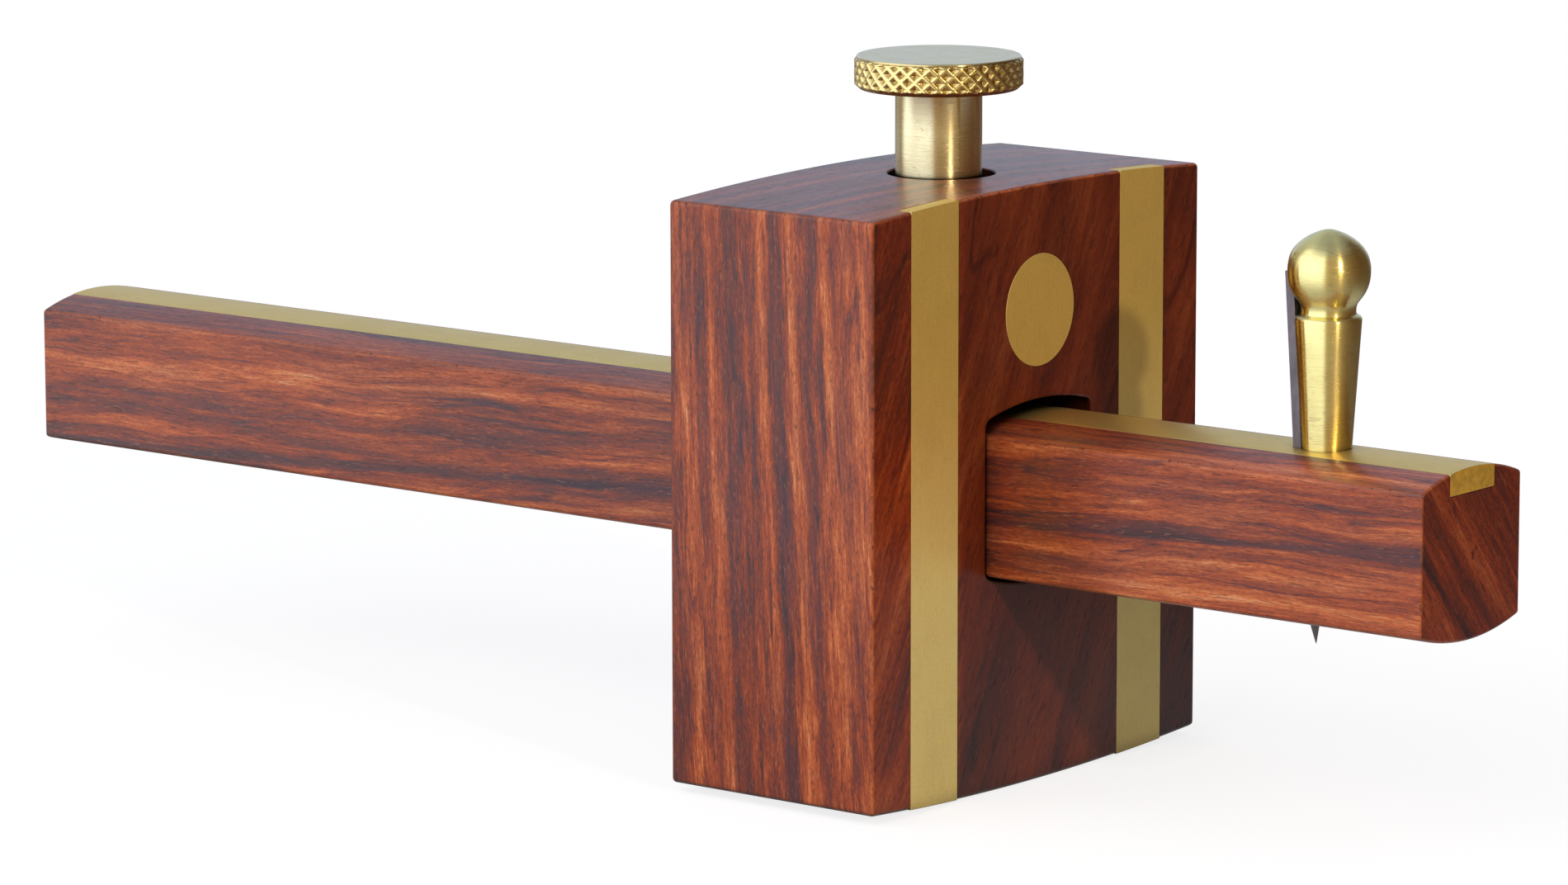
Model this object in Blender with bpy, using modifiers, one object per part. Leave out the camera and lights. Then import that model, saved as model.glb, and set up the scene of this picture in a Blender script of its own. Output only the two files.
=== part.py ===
"""Marking gauge of the cutting kind, 212 mm stem, modelled in Blender 4.5.

Ten separate pieces:
  stock, face_strip_left, face_strip_right, barrel_nut     the head that runs along the work
  pressure_pad, thumbscrew                                 the clamp that locks the stem
  stem, stem_strip                                         the sliding beam and its brass wear strip
  blade, wedge_pin                                         the flat knife and the brass wedge that holds it

Frame: +X runs along the stem to the knife end and out of the working face, +Z is up
towards the thumbscrew, Y runs across. The origin is the centre of the barrel nut's
round end, which is flush with the working face. All sizes are in metres.
"""

import math

import bmesh
import bpy
from mathutils import Matrix, Vector

OBJECT = "marking_gauge"

# ---- stock: an upright block whose top and base are shallow arches ----------------------
STOCK_WIDTH = 0.0634  # Y
STOCK_THICKNESS = 0.0298  # X, working face at x = 0
STOCK_SIDE_HEIGHT = 0.06854  # Z, measured at the two side faces
STOCK_MID_Z = -0.0205
STOCK_TOP_RISE = 0.00107
STOCK_BASE_DROP = 0.00111
STOCK_ARC_STEPS = 17
STOCK_EDGE = 0.0005

# ---- brass wear strips let into the working face ----------------------------------------
STRIP_WIDTH = 0.0089
STRIP_DEPTH = 0.0020
STRIP_OFFSET_Y = 0.0201
STRIP_ARC_STEPS = 4
STRIP_SIDES = (("left", 1), ("right", -1))  # name, sign of y
INLAY_GAP = 0.00005
POCKET_BASE_Z = -0.070  # the pockets run out past the stock's base and top
POCKET_TOP_Z = 0.030

# ---- barrel nut, pushed in from the working face ----------------------------------------
NUT_RADIUS = 0.00665
NUT_LENGTH = 0.0245
NUT_HOLE_DEPTH = 0.0249
NUT_BORE_RADIUS = 0.00415
NUT_BORE_REACH = 0.012  # of the bore's cutter, above and below the nut's axis
NUT_CHAMFER = 0.0004
NUT_GAP = 0.00005

# ---- stem and its brass strip -----------------------------------------------------------
STEM_WIDTH = 0.0200
STEM_SIDE_HEIGHT = 0.01639
STEM_TOP_RISE = 0.00184
STEM_BASE_DROP = 0.00154
STEM_MID_Z = -0.02183
STEM_TOP_Z = STEM_MID_Z + STEM_SIDE_HEIGHT / 2  # at the side faces
STEM_TAIL_X = -0.1521
STEM_NOSE_X = 0.0600
STEM_ARC_STEPS = 20
STEM_EDGE = 0.0003
RIB_WIDTH = 0.0090
RIB_FLOOR_Z = -0.0147
RIB_ARC_STEPS = 9

# ---- mortise through the stock, loose above the stem ------------------------------------
MORTISE_HALF_WIDTH = 0.01025
MORTISE_TOP_CORNER_Z = -0.01155
MORTISE_BASE_CORNER_Z = -0.03025
MORTISE_TOP_RISE = 0.00115
MORTISE_BASE_DROP = 0.00155
MORTISE_ARC_STEPS = 12
MORTISE_CORNER = 0.0009

# ---- thumbscrew -------------------------------------------------------------------------
SCREW_X = -0.0149
HEAD_RADIUS = 0.0099
HEAD_TOP_Z = 0.0287
HEAD_BASE_Z = 0.0248
HEAD_RIM_ROUND = 0.00045
HEAD_RIM_CHAMFER = 0.00055
HEAD_RIM_STEPS = 4
SHANK_RADIUS = 0.0051
SHANK_BASE_Z = 0.0090
SHANK_FLARE = 0.0003  # where the shank meets the head
SHANK_CHAMFER = 0.0004
STUD_RADIUS = 0.00395
STUD_BASE_Z = -0.0092
STUD_CHAMFER = 0.0005
NOSE_RADIUS = 0.0020
NOSE_BASE_Z = -0.0104
CLEARANCE_HOLE_RADIUS = 0.00642
CLEARANCE_HOLE_TOP_Z = 0.030

# ---- pressure pad under the thumbscrew --------------------------------------------------
PAD_RADIUS = 0.0045
PAD_TOP_Z = -0.0095
PAD_BASE_Z = -0.0115
PAD_CHAMFER = 0.0003
PAD_RECESS_RADIUS = 0.0023
PAD_RECESS_FLOOR_Z = -0.0107
PAD_HOLE_RADIUS = 0.0048
PAD_HOLE_BASE_Z = -0.0135

# ---- knife, wedge and the hole they share -----------------------------------------------
KNIFE_HOLE_X = 0.0398
KNIFE_HOLE_RADIUS = 0.00355
KNIFE_HOLE_BASE_Z = -0.045
KNIFE_LEVEL_Z = -0.0118  # height of the stem's crest, where the pieces below are dimensioned
KNIFE_LEAN = 0.0686  # rad, top leaning back towards the stock
BLADE_X = 0.03767
BLADE_THICKNESS = 0.0011
BLADE_WIDTH = 0.0040
BLADE_ABOVE = 0.02005
BLADE_BELOW = 0.02286
BLADE_POINT_HALF_ANGLE = math.radians(21.8)
BLADE_GRIND = math.radians(20.0)
BLADE_EDGE_HALF = 0.00004  # from the mid plane to each ground plane, at the edge
GRIND_BOX_LOW = (-0.012, -0.006, 0.0)
GRIND_BOX_HIGH = (0.012, 0.006, 0.006)
WEDGE_X = 0.04035
WEDGE_RADIUS = 0.00287  # at KNIFE_LEVEL_Z
WEDGE_TAPER = 0.0655  # radius gained per unit of height
WEDGE_BASE_Z = -0.0305
WEDGE_BASE_CHAMFER_HEIGHT = 0.0004
WEDGE_BASE_CHAMFER_WIDTH = 0.0003
WEDGE_COLLAR_Z = 0.0029
WEDGE_COLLAR_CHAMFER = 0.0004
WEDGE_NECK_RADIUS = 0.00335
WEDGE_NECK_LIFT = 0.0001  # neck's foot above the collar's upper rim
BALL_RADIUS = 0.00476
BALL_MID_Z = 0.0086
BALL_RISE = 0.00432  # the upper half is a little flattened
BALL_NUB = 0.00015
BALL_START = math.radians(80)  # elevation of the ball's highest ring
BALL_STEPS = 18
WEDGE_FLAT_OFFSET = 0.00075  # from the knife's mid plane to the wedge's flat
FLAT_BOX_LOW = (-0.02, -0.01, -0.03)
FLAT_BOX_HIGH = (WEDGE_FLAT_OFFSET, 0.01, 0.04)

# ---- modelling --------------------------------------------------------------------------
TURN_STEPS = 64
SMALL_TURN_STEPS = 48
THROUGH_OVERRUN = 0.01  # of a cutter past each end of a through cut
FACE_OVERRUN = 0.005  # of a cutter in front of the working face
BEVEL_ANGLE = math.radians(35.0)
SHARP_ANGLE = math.radians(30)
WELD_DISTANCE = 1e-6
FLAT_ANGLE = 0.0008  # rad, faces closer than this are merged
TURN_WELD_DISTANCE = 0.00001

# Axes for a flat outline drawn in Y and Z and extruded along X.
ACROSS = Matrix(((0, 0, 1), (1, 0, 0), (0, 1, 0))).to_4x4()
# The leaning frame of the knife, which the flat on the wedge follows.
KNIFE_FRAME = Matrix.Translation((BLADE_X, 0, KNIFE_LEVEL_Z)) @ Matrix.Rotation(
    -KNIFE_LEAN, 4, "Y"
)


# ---- scene and materials ----------------------------------------------------------------


def clear_scene():
    for obj in list(bpy.data.objects):
        bpy.data.objects.remove(obj, do_unlink=True)
    for block in (bpy.data.collections, bpy.data.meshes, bpy.data.curves, bpy.data.materials):
        for item in list(block):
            block.remove(item)


def new_collection(name):
    collection = bpy.data.collections.new(name)
    bpy.context.scene.collection.children.link(collection)
    return collection


def principled(name, colour, roughness, metallic):
    material = bpy.data.materials.new(name)
    material.use_nodes = True
    shader = material.node_tree.nodes["Principled BSDF"]
    shader.inputs["Base Color"].default_value = (*colour, 1.0)
    shader.inputs["Roughness"].default_value = roughness
    shader.inputs["Metallic"].default_value = metallic
    material.diffuse_color = (*colour, 1.0)
    return material


def rosewood(name, colour, roughness):
    return principled(name, colour, roughness, metallic=0.0)


def metal(name, colour, roughness):
    return principled(name, colour, roughness, metallic=1.0)


clear_scene()
parts = new_collection(OBJECT)
cutters = new_collection("cutters")
cutters.hide_render = True

rosewood_stock = rosewood("rosewood_stock", colour=(0.23, 0.062, 0.026), roughness=0.38)
rosewood_stem = rosewood("rosewood_stem", colour=(0.26, 0.070, 0.030), roughness=0.40)
brass_inlay = metal("brass_inlay", colour=(0.46, 0.33, 0.10), roughness=0.42)
brass_rib = metal("brass_rib", colour=(0.50, 0.37, 0.12), roughness=0.42)
brass_plug = metal("brass_plug", colour=(0.44, 0.31, 0.09), roughness=0.45)
brass_screw = metal("brass_screw", colour=(0.60, 0.45, 0.17), roughness=0.28)
brass_wedge = metal("brass_wedge", colour=(0.58, 0.42, 0.13), roughness=0.27)
brass_pad = metal("brass_pad", colour=(0.50, 0.36, 0.12), roughness=0.40)
knife_steel = metal("knife_steel", colour=(0.16, 0.15, 0.16), roughness=0.35)


# ---- solids -----------------------------------------------------------------------------


def evaluated_mesh(obj, name):
    bpy.context.view_layer.update()
    graph = bpy.context.evaluated_depsgraph_get()
    return bpy.data.meshes.new_from_object(obj.evaluated_get(graph), depsgraph=graph)


def clean_prism(mesh):
    """Welds the caps to the sides and merges coplanar faces."""
    work = bmesh.new()
    work.from_mesh(mesh)
    bmesh.ops.remove_doubles(work, verts=work.verts, dist=WELD_DISTANCE)
    bmesh.ops.dissolve_limit(
        work, angle_limit=FLAT_ANGLE, verts=work.verts, edges=work.edges
    )
    bmesh.ops.recalc_face_normals(work, faces=work.faces)
    work.to_mesh(mesh)
    work.free()


def prism(name, points, x_low, x_high, collection=parts):
    """A flat outline in Y and Z, drawn as a filled 2D curve and extruded along X."""
    curve = bpy.data.curves.new(name + "_outline", "CURVE")
    curve.dimensions = "2D"
    curve.fill_mode = "BOTH"
    curve.extrude = (x_high - x_low) / 2
    spline = curve.splines.new("POLY")
    spline.points.add(len(points) - 1)
    for point, (y, z) in zip(spline.points, points):
        point.co = (y, z, 0.0, 1.0)
    spline.use_cyclic_u = True
    source = bpy.data.objects.new(name + "_outline", curve)
    source.matrix_world = Matrix.Translation(((x_low + x_high) / 2, 0, 0)) @ ACROSS
    collection.objects.link(source)
    mesh = evaluated_mesh(source, name)
    mesh.name = name
    mesh.transform(source.matrix_world)
    bpy.data.objects.remove(source, do_unlink=True)
    clean_prism(mesh)
    obj = bpy.data.objects.new(name, mesh)
    collection.objects.link(obj)
    return obj


def turned(name, profile, steps=TURN_STEPS):
    """A profile of (radius, z) points turned about Z."""
    outline = bpy.data.meshes.new(name)
    work = bmesh.new()
    verts = [work.verts.new((radius, 0.0, z)) for radius, z in profile]
    for pair in zip(verts, verts[1:]):
        work.edges.new(pair)
    work.to_mesh(outline)
    work.free()
    obj = bpy.data.objects.new(name, outline)
    parts.objects.link(obj)
    screw = obj.modifiers.new("turn", "SCREW")
    screw.axis = "Z"
    screw.angle = 2 * math.pi
    screw.steps = steps
    screw.use_merge_vertices = True
    screw.merge_threshold = TURN_WELD_DISTANCE
    solid = evaluated_mesh(obj, name)
    obj.modifiers.remove(screw)
    obj.data = solid
    bpy.data.meshes.remove(outline)
    solid.name = name
    solid.shade_smooth()
    solid.set_sharp_from_angle(angle=SHARP_ANGLE)
    return obj


# ---- cutters ----------------------------------------------------------------------------


def as_cutter(obj, name):
    """Names a helper, hides it from renders and keeps it in the cutters collection."""
    obj.name = name
    obj.data.name = name
    for owner in list(obj.users_collection):
        owner.objects.unlink(obj)
    cutters.objects.link(obj)
    obj.hide_render = True
    obj.display_type = "WIRE"
    return obj


def box_cutter(name, low, high):
    low, high = Vector(low), Vector(high)
    bpy.ops.mesh.primitive_cube_add(size=1.0)
    obj = bpy.context.object
    obj.data.transform(Matrix.Diagonal((*(high - low), 1.0)))
    obj.location = (low + high) / 2
    return as_cutter(obj, name)


def centred_box_cutter(name, low, high):
    """A box cutter whose own origin is at the world origin, ready to be placed."""
    obj = box_cutter(name, low, high)
    obj.data.transform(Matrix.Translation(obj.location))
    obj.location = (0, 0, 0)
    return obj


def rod_cutter(name, radius, start, end, steps=TURN_STEPS):
    """A cylinder between two points."""
    start, end = Vector(start), Vector(end)
    bpy.ops.mesh.primitive_cylinder_add(
        vertices=steps, radius=radius, depth=(end - start).length
    )
    obj = bpy.context.object
    obj.location = (start + end) / 2
    obj.rotation_euler = (end - start).to_track_quat("Z", "Y").to_euler()
    return as_cutter(obj, name)


def round_edges(obj, width, segments=2):
    bevel = obj.modifiers.new("edge", "BEVEL")
    bevel.width = width
    bevel.segments = segments
    bevel.limit_method = "ANGLE"
    bevel.angle_limit = BEVEL_ANGLE
    bevel.use_clamp_overlap = True


def cut(obj, *tools):
    for tool in tools:
        boolean = obj.modifiers.new("cut_" + tool.name, "BOOLEAN")
        boolean.operation = "DIFFERENCE"
        boolean.solver = "EXACT"
        boolean.object = tool


# ---- assembly ---------------------------------------------------------------------------


def attach(obj, material, parent, origin):
    """Parents a piece with its origin at a world point, and gives it its material."""
    bpy.context.view_layer.update()
    obj.parent = parent
    obj.location = Vector(origin) - parent.matrix_world.translation
    obj.data.materials.clear()
    obj.data.materials.append(material)


def finish_piece(obj, material, parent, origin):
    """Bakes a piece's placing into its mesh, about the given origin, and attaches it."""
    bpy.context.view_layer.update()
    obj.data.transform(Matrix.Translation(-Vector(origin)) @ obj.matrix_world)
    obj.rotation_euler = (0.0, 0.0, 0.0)
    attach(obj, material, parent, origin)


# ---- outlines ---------------------------------------------------------------------------


def arc_height(y, half_width, rise):
    """Height of a shallow arch above its chord, at y."""
    radius = (half_width**2 + rise**2) / (2 * rise)
    return math.sqrt(radius**2 - y**2) - (radius - rise)


def arched_outline(y_low, y_high, half_width, top_z, top_rise, base_z, base_drop, steps):
    """Points, anticlockwise from the lower left, of a block with an arched top and base."""
    points = []
    for i in range(steps + 1):
        y = y_low + (y_high - y_low) * i / steps
        points.append((y, base_z - arc_height(y, half_width, base_drop)))
    for i in range(steps + 1):
        y = y_high + (y_low - y_high) * i / steps
        points.append((y, top_z + arc_height(y, half_width, top_rise)))
    return points


def stock_outline(y_low, y_high, steps):
    """The stock's outline between two values of y."""
    return arched_outline(
        y_low,
        y_high,
        half_width=STOCK_WIDTH / 2,
        top_z=STOCK_MID_Z + STOCK_SIDE_HEIGHT / 2,
        top_rise=STOCK_TOP_RISE,
        base_z=STOCK_MID_Z - STOCK_SIDE_HEIGHT / 2,
        base_drop=STOCK_BASE_DROP,
        steps=steps,
    )


def quarter_round(radius, top_z, size, steps):
    """The rounded top rim of a disc, from its flat top to its side."""
    angles = [math.pi / 2 * i / steps for i in range(steps + 1)]
    return [
        (radius - size + size * math.sin(angle), top_z - size + size * math.cos(angle))
        for angle in angles
    ]


# ---- head -------------------------------------------------------------------------------


def mortise_cutter():
    outline = arched_outline(
        -MORTISE_HALF_WIDTH,
        MORTISE_HALF_WIDTH,
        half_width=MORTISE_HALF_WIDTH,
        top_z=MORTISE_TOP_CORNER_Z,
        top_rise=MORTISE_TOP_RISE,
        base_z=MORTISE_BASE_CORNER_Z,
        base_drop=MORTISE_BASE_DROP,
        steps=MORTISE_ARC_STEPS,
    )
    name = "cut_mortise"
    x_low = -STOCK_THICKNESS - THROUGH_OVERRUN
    mortise = as_cutter(prism(name, outline, x_low, THROUGH_OVERRUN, cutters), name)
    round_edges(mortise, MORTISE_CORNER, segments=3)
    return mortise


def pocket_cutter(side, sign):
    middle = sign * STRIP_OFFSET_Y
    reach = STRIP_WIDTH / 2 + INLAY_GAP
    return box_cutter(
        "cut_pocket_" + side,
        (-STRIP_DEPTH - INLAY_GAP, middle - reach, POCKET_BASE_Z),
        (FACE_OVERRUN, middle + reach, POCKET_TOP_Z),
    )


def make_stock(parent):
    mortise = mortise_cutter()
    nut_hole = rod_cutter(
        "cut_nut_hole",
        NUT_RADIUS + NUT_GAP,
        (-NUT_HOLE_DEPTH, 0, 0),
        (FACE_OVERRUN, 0, 0),
    )
    screw_hole = rod_cutter(
        "cut_screw_hole",
        CLEARANCE_HOLE_RADIUS,
        (SCREW_X, 0, 0),
        (SCREW_X, 0, CLEARANCE_HOLE_TOP_Z),
    )
    pad_hole = rod_cutter(
        "cut_pad_hole",
        PAD_HOLE_RADIUS,
        (SCREW_X, 0, PAD_HOLE_BASE_Z),
        (SCREW_X, 0, 0),
        steps=SMALL_TURN_STEPS,
    )
    pockets = [pocket_cutter(side, sign) for side, sign in STRIP_SIDES]
    outline = stock_outline(-STOCK_WIDTH / 2, STOCK_WIDTH / 2, STOCK_ARC_STEPS)
    stock = prism("stock", outline, -STOCK_THICKNESS, 0.0)
    round_edges(stock, STOCK_EDGE)
    cut(stock, mortise, nut_hole, screw_hole, pad_hole, *pockets)
    finish_piece(stock, rosewood_stock, parent, (0, 0, 0))
    return stock


def make_face_strip(side, sign, stock):
    """A wear strip whose ends follow the stock's arches."""
    middle = sign * STRIP_OFFSET_Y
    outline = stock_outline(
        middle - STRIP_WIDTH / 2, middle + STRIP_WIDTH / 2, STRIP_ARC_STEPS
    )
    strip = prism("face_strip_" + side, outline, -STRIP_DEPTH, 0.0)
    finish_piece(strip, brass_inlay, stock, (0, middle, STOCK_MID_Z))


def make_barrel_nut(stock):
    """A plain rod with a chamfered inner end, cross-bored for the thumbscrew."""
    profile = [
        (0.0, 0.0),
        (NUT_RADIUS, 0.0),
        (NUT_RADIUS, -NUT_LENGTH + NUT_CHAMFER),
        (NUT_RADIUS - NUT_CHAMFER, -NUT_LENGTH),
        (0.0, -NUT_LENGTH),
    ]
    nut = turned("barrel_nut", profile)
    nut.rotation_euler = (0.0, math.radians(90), 0.0)
    finish_piece(nut, brass_plug, stock, (0, 0, 0))
    bore = rod_cutter(
        "cut_nut_bore",
        NUT_BORE_RADIUS,
        (SCREW_X, 0, -NUT_BORE_REACH),
        (SCREW_X, 0, NUT_BORE_REACH),
        steps=SMALL_TURN_STEPS,
    )
    cut(nut, bore)


# ---- clamp ------------------------------------------------------------------------------


def make_pressure_pad(parent):
    """A chamfered disc, recessed on top for the thumbscrew's nose."""
    profile = [
        (0.0, PAD_RECESS_FLOOR_Z),
        (PAD_RECESS_RADIUS, PAD_RECESS_FLOOR_Z),
        (PAD_RECESS_RADIUS, PAD_TOP_Z),
        (PAD_RADIUS - PAD_CHAMFER, PAD_TOP_Z),
        (PAD_RADIUS, PAD_TOP_Z - PAD_CHAMFER),
        (PAD_RADIUS, PAD_BASE_Z + PAD_CHAMFER),
        (PAD_RADIUS - PAD_CHAMFER, PAD_BASE_Z),
        (0.0, PAD_BASE_Z),
    ]
    pad = turned("pressure_pad", profile, steps=SMALL_TURN_STEPS)
    pad.location = (SCREW_X, 0, 0)
    finish_piece(pad, brass_pad, parent, (SCREW_X, 0, PAD_TOP_Z))
    return pad


def make_thumbscrew(pad):
    """Head, shank, stud and nose, from the top down."""
    profile = [
        (0.0, HEAD_TOP_Z),
        *quarter_round(HEAD_RADIUS, HEAD_TOP_Z, HEAD_RIM_ROUND, HEAD_RIM_STEPS),
        (HEAD_RADIUS, HEAD_BASE_Z + HEAD_RIM_CHAMFER),
        (HEAD_RADIUS - HEAD_RIM_CHAMFER, HEAD_BASE_Z),
        (SHANK_RADIUS + SHANK_FLARE, HEAD_BASE_Z),
        (SHANK_RADIUS, HEAD_BASE_Z - SHANK_FLARE),
        (SHANK_RADIUS, SHANK_BASE_Z + SHANK_CHAMFER),
        (SHANK_RADIUS - SHANK_CHAMFER, SHANK_BASE_Z),
        (STUD_RADIUS, SHANK_BASE_Z),
        (STUD_RADIUS, STUD_BASE_Z + STUD_CHAMFER),
        (STUD_RADIUS - STUD_CHAMFER, STUD_BASE_Z),
        (NOSE_RADIUS, STUD_BASE_Z),
        (NOSE_RADIUS, NOSE_BASE_Z),
        (0.0, NOSE_BASE_Z),
    ]
    screw = turned("thumbscrew", profile)
    screw.location = (SCREW_X, 0, 0)
    finish_piece(screw, brass_screw, pad, (SCREW_X, 0, SHANK_BASE_Z))


# ---- beam -------------------------------------------------------------------------------


def knife_hole_cutter():
    return rod_cutter(
        "cut_knife_hole",
        KNIFE_HOLE_RADIUS,
        (KNIFE_HOLE_X, 0, KNIFE_HOLE_BASE_Z),
        (KNIFE_HOLE_X, 0, 0),
        steps=SMALL_TURN_STEPS,
    )


def make_stem(parent, knife_hole):
    """A beam with crowned top and base, grooved for its strip and drilled for the knife."""
    outline = arched_outline(
        -STEM_WIDTH / 2,
        STEM_WIDTH / 2,
        half_width=STEM_WIDTH / 2,
        top_z=STEM_TOP_Z,
        top_rise=STEM_TOP_RISE,
        base_z=STEM_MID_Z - STEM_SIDE_HEIGHT / 2,
        base_drop=STEM_BASE_DROP,
        steps=STEM_ARC_STEPS,
    )
    stem = prism("stem", outline, STEM_TAIL_X, STEM_NOSE_X)
    round_edges(stem, STEM_EDGE)
    reach = RIB_WIDTH / 2 + INLAY_GAP
    groove = box_cutter(
        "cut_rib_groove",
        (STEM_TAIL_X - THROUGH_OVERRUN, -reach, RIB_FLOOR_Z - INLAY_GAP),
        (STEM_NOSE_X + THROUGH_OVERRUN, reach, 0.0),
    )
    cut(stem, groove, knife_hole)
    finish_piece(stem, rosewood_stem, parent, (0, 0, STEM_MID_Z))
    return stem


def make_stem_strip(stem, knife_hole):
    """A flat-bottomed strip whose top follows the stem's crown."""
    half = RIB_WIDTH / 2
    outline = [(-half, RIB_FLOOR_Z), (half, RIB_FLOOR_Z)]
    for i in range(RIB_ARC_STEPS + 1):
        y = half - RIB_WIDTH * i / RIB_ARC_STEPS
        outline.append((y, STEM_TOP_Z + arc_height(y, STEM_WIDTH / 2, STEM_TOP_RISE)))
    strip = prism("stem_strip", outline, STEM_TAIL_X, STEM_NOSE_X)
    cut(strip, knife_hole)
    finish_piece(strip, brass_rib, stem, (0, 0, RIB_FLOOR_Z))


# ---- knife and wedge --------------------------------------------------------------------


def grind_cutter(name, face, hand):
    """A box that grinds one side of the point; face is the sign of x, hand that of y."""
    sine, cosine = math.sin(BLADE_POINT_HALF_ANGLE), math.cos(BLADE_POINT_HALF_ANGLE)
    along = Vector((0, hand * sine, cosine))
    outward = Vector((0, hand * cosine, -sine))
    normal = (
        Vector((face, 0, 0)) * math.cos(BLADE_GRIND) + outward * math.sin(BLADE_GRIND)
    ).normalized()
    side = normal.cross(along)
    # The ground plane starts a hair outside the mid plane, so a fine edge is left.
    start = Vector((face * BLADE_EDGE_HALF, 0, -BLADE_BELOW))
    axes = Matrix((along, side, normal)).transposed().to_4x4()
    tool = centred_box_cutter(name, GRIND_BOX_LOW, GRIND_BOX_HIGH)
    tool.data.transform(Matrix.Translation(start) @ axes)
    return tool


def make_blade(stem):
    """A flat blade with a spear point, ground on both faces, leaning with the wedge."""
    half = BLADE_WIDTH / 2
    shoulder_z = -BLADE_BELOW + half / math.tan(BLADE_POINT_HALF_ANGLE)
    outline = [
        (0.0, -BLADE_BELOW),
        (half, shoulder_z),
        (half, BLADE_ABOVE),
        (-half, BLADE_ABOVE),
        (-half, shoulder_z),
    ]
    blade = prism("blade", outline, -BLADE_THICKNESS / 2, BLADE_THICKNESS / 2)
    grinds = [
        grind_cutter("cut_grind_" + face_name + hand_name, face, hand)
        for face_name, face in (("a", 1), ("b", -1))
        for hand_name, hand in (("p", 1), ("n", -1))
    ]
    # The grinds are applied while blade and tools stand upright, then all are leant.
    cut(blade, *grinds)
    ground = evaluated_mesh(blade, "blade")
    blade.modifiers.clear()
    blade.data = ground
    ground.name = "blade"
    for tool in grinds:
        tool.matrix_world = KNIFE_FRAME
    blade.rotation_euler = (0.0, -KNIFE_LEAN, 0.0)
    attach(blade, knife_steel, stem, (BLADE_X, 0, KNIFE_LEVEL_Z))


def wedge_radius(z):
    return WEDGE_RADIUS + (z - KNIFE_LEVEL_Z) * WEDGE_TAPER


def wedge_profile():
    """Ball, neck, collar and tapered body, from the top down."""
    points = [(0.0, BALL_MID_Z + BALL_RISE + BALL_NUB)]
    join = -math.acos(WEDGE_NECK_RADIUS / BALL_RADIUS)
    for i in range(BALL_STEPS + 1):
        angle = BALL_START + (join - BALL_START) * i / BALL_STEPS
        rise = BALL_RISE if angle > 0 else BALL_RADIUS
        points.append((BALL_RADIUS * math.cos(angle), BALL_MID_Z + rise * math.sin(angle)))
    collar = wedge_radius(WEDGE_COLLAR_Z)
    rim_z = WEDGE_COLLAR_Z + WEDGE_COLLAR_CHAMFER
    body_base_z = WEDGE_BASE_Z + WEDGE_BASE_CHAMFER_HEIGHT
    points += [
        (WEDGE_NECK_RADIUS, rim_z + WEDGE_NECK_LIFT),
        (collar - WEDGE_COLLAR_CHAMFER, rim_z),
        (collar, WEDGE_COLLAR_Z),
        (wedge_radius(body_base_z), body_base_z),
        (wedge_radius(WEDGE_BASE_Z) - WEDGE_BASE_CHAMFER_WIDTH, WEDGE_BASE_Z),
        (0.0, WEDGE_BASE_Z),
    ]
    return points


def make_wedge_pin(stem):
    """A tapered pin with a ball to pull on, and a flat for the knife."""
    wedge = turned("wedge_pin", wedge_profile())
    wedge.location = (WEDGE_X, 0, 0)
    flat = centred_box_cutter("cut_wedge_flat", FLAT_BOX_LOW, FLAT_BOX_HIGH)
    flat.matrix_world = KNIFE_FRAME
    cut(wedge, flat)
    finish_piece(wedge, brass_wedge, stem, (WEDGE_X, 0, KNIFE_LEVEL_Z))


def build_gauge():
    root = bpy.data.objects.new(OBJECT + "_root", None)
    root.empty_display_size = 0.01
    parts.objects.link(root)

    stock = make_stock(root)
    for side, sign in STRIP_SIDES:
        make_face_strip(side, sign, stock)
    make_barrel_nut(stock)

    pad = make_pressure_pad(root)
    make_thumbscrew(pad)

    knife_hole = knife_hole_cutter()
    stem = make_stem(root, knife_hole)
    make_stem_strip(stem, knife_hole)
    make_blade(stem)
    make_wedge_pin(stem)
    bpy.context.view_layer.update()


build_gauge()
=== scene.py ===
"""A cutting gauge: a rosewood stock on a rosewood stem, with a knife and brass fittings.

The stem lies along X and passes through the stock, whose broad faces look along +X and -X.
The thumbscrew stands on the stock's top. The knife and its wedge pin cross the stem upright,
beyond the stock's +X face. Z is up, and the floor is level with the lowest point of the stock.
"""

import math
from types import SimpleNamespace

import bmesh
import bpy
from mathutils import Matrix, Vector


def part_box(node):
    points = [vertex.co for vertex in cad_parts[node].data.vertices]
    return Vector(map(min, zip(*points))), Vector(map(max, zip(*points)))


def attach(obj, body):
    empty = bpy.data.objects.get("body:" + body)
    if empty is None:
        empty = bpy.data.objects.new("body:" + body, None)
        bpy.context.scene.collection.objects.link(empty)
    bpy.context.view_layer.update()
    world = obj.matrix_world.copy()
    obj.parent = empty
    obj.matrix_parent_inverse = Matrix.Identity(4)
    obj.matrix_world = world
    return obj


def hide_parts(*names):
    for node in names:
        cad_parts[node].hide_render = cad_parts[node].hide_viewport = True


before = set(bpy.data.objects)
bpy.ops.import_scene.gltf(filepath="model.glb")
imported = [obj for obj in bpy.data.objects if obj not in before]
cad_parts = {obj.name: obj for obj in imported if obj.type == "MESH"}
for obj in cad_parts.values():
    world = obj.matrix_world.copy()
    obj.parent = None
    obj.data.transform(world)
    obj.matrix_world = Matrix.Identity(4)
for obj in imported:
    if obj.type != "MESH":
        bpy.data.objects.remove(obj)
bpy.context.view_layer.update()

MM = 0.001


def mm(*values):
    return tuple(value * MM for value in values)


# ---- Sizes, read from the frame ----------------------------------------------------------


def box_of(node):
    low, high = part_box(node)
    return SimpleNamespace(low=low, high=high, size=high - low)


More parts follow.
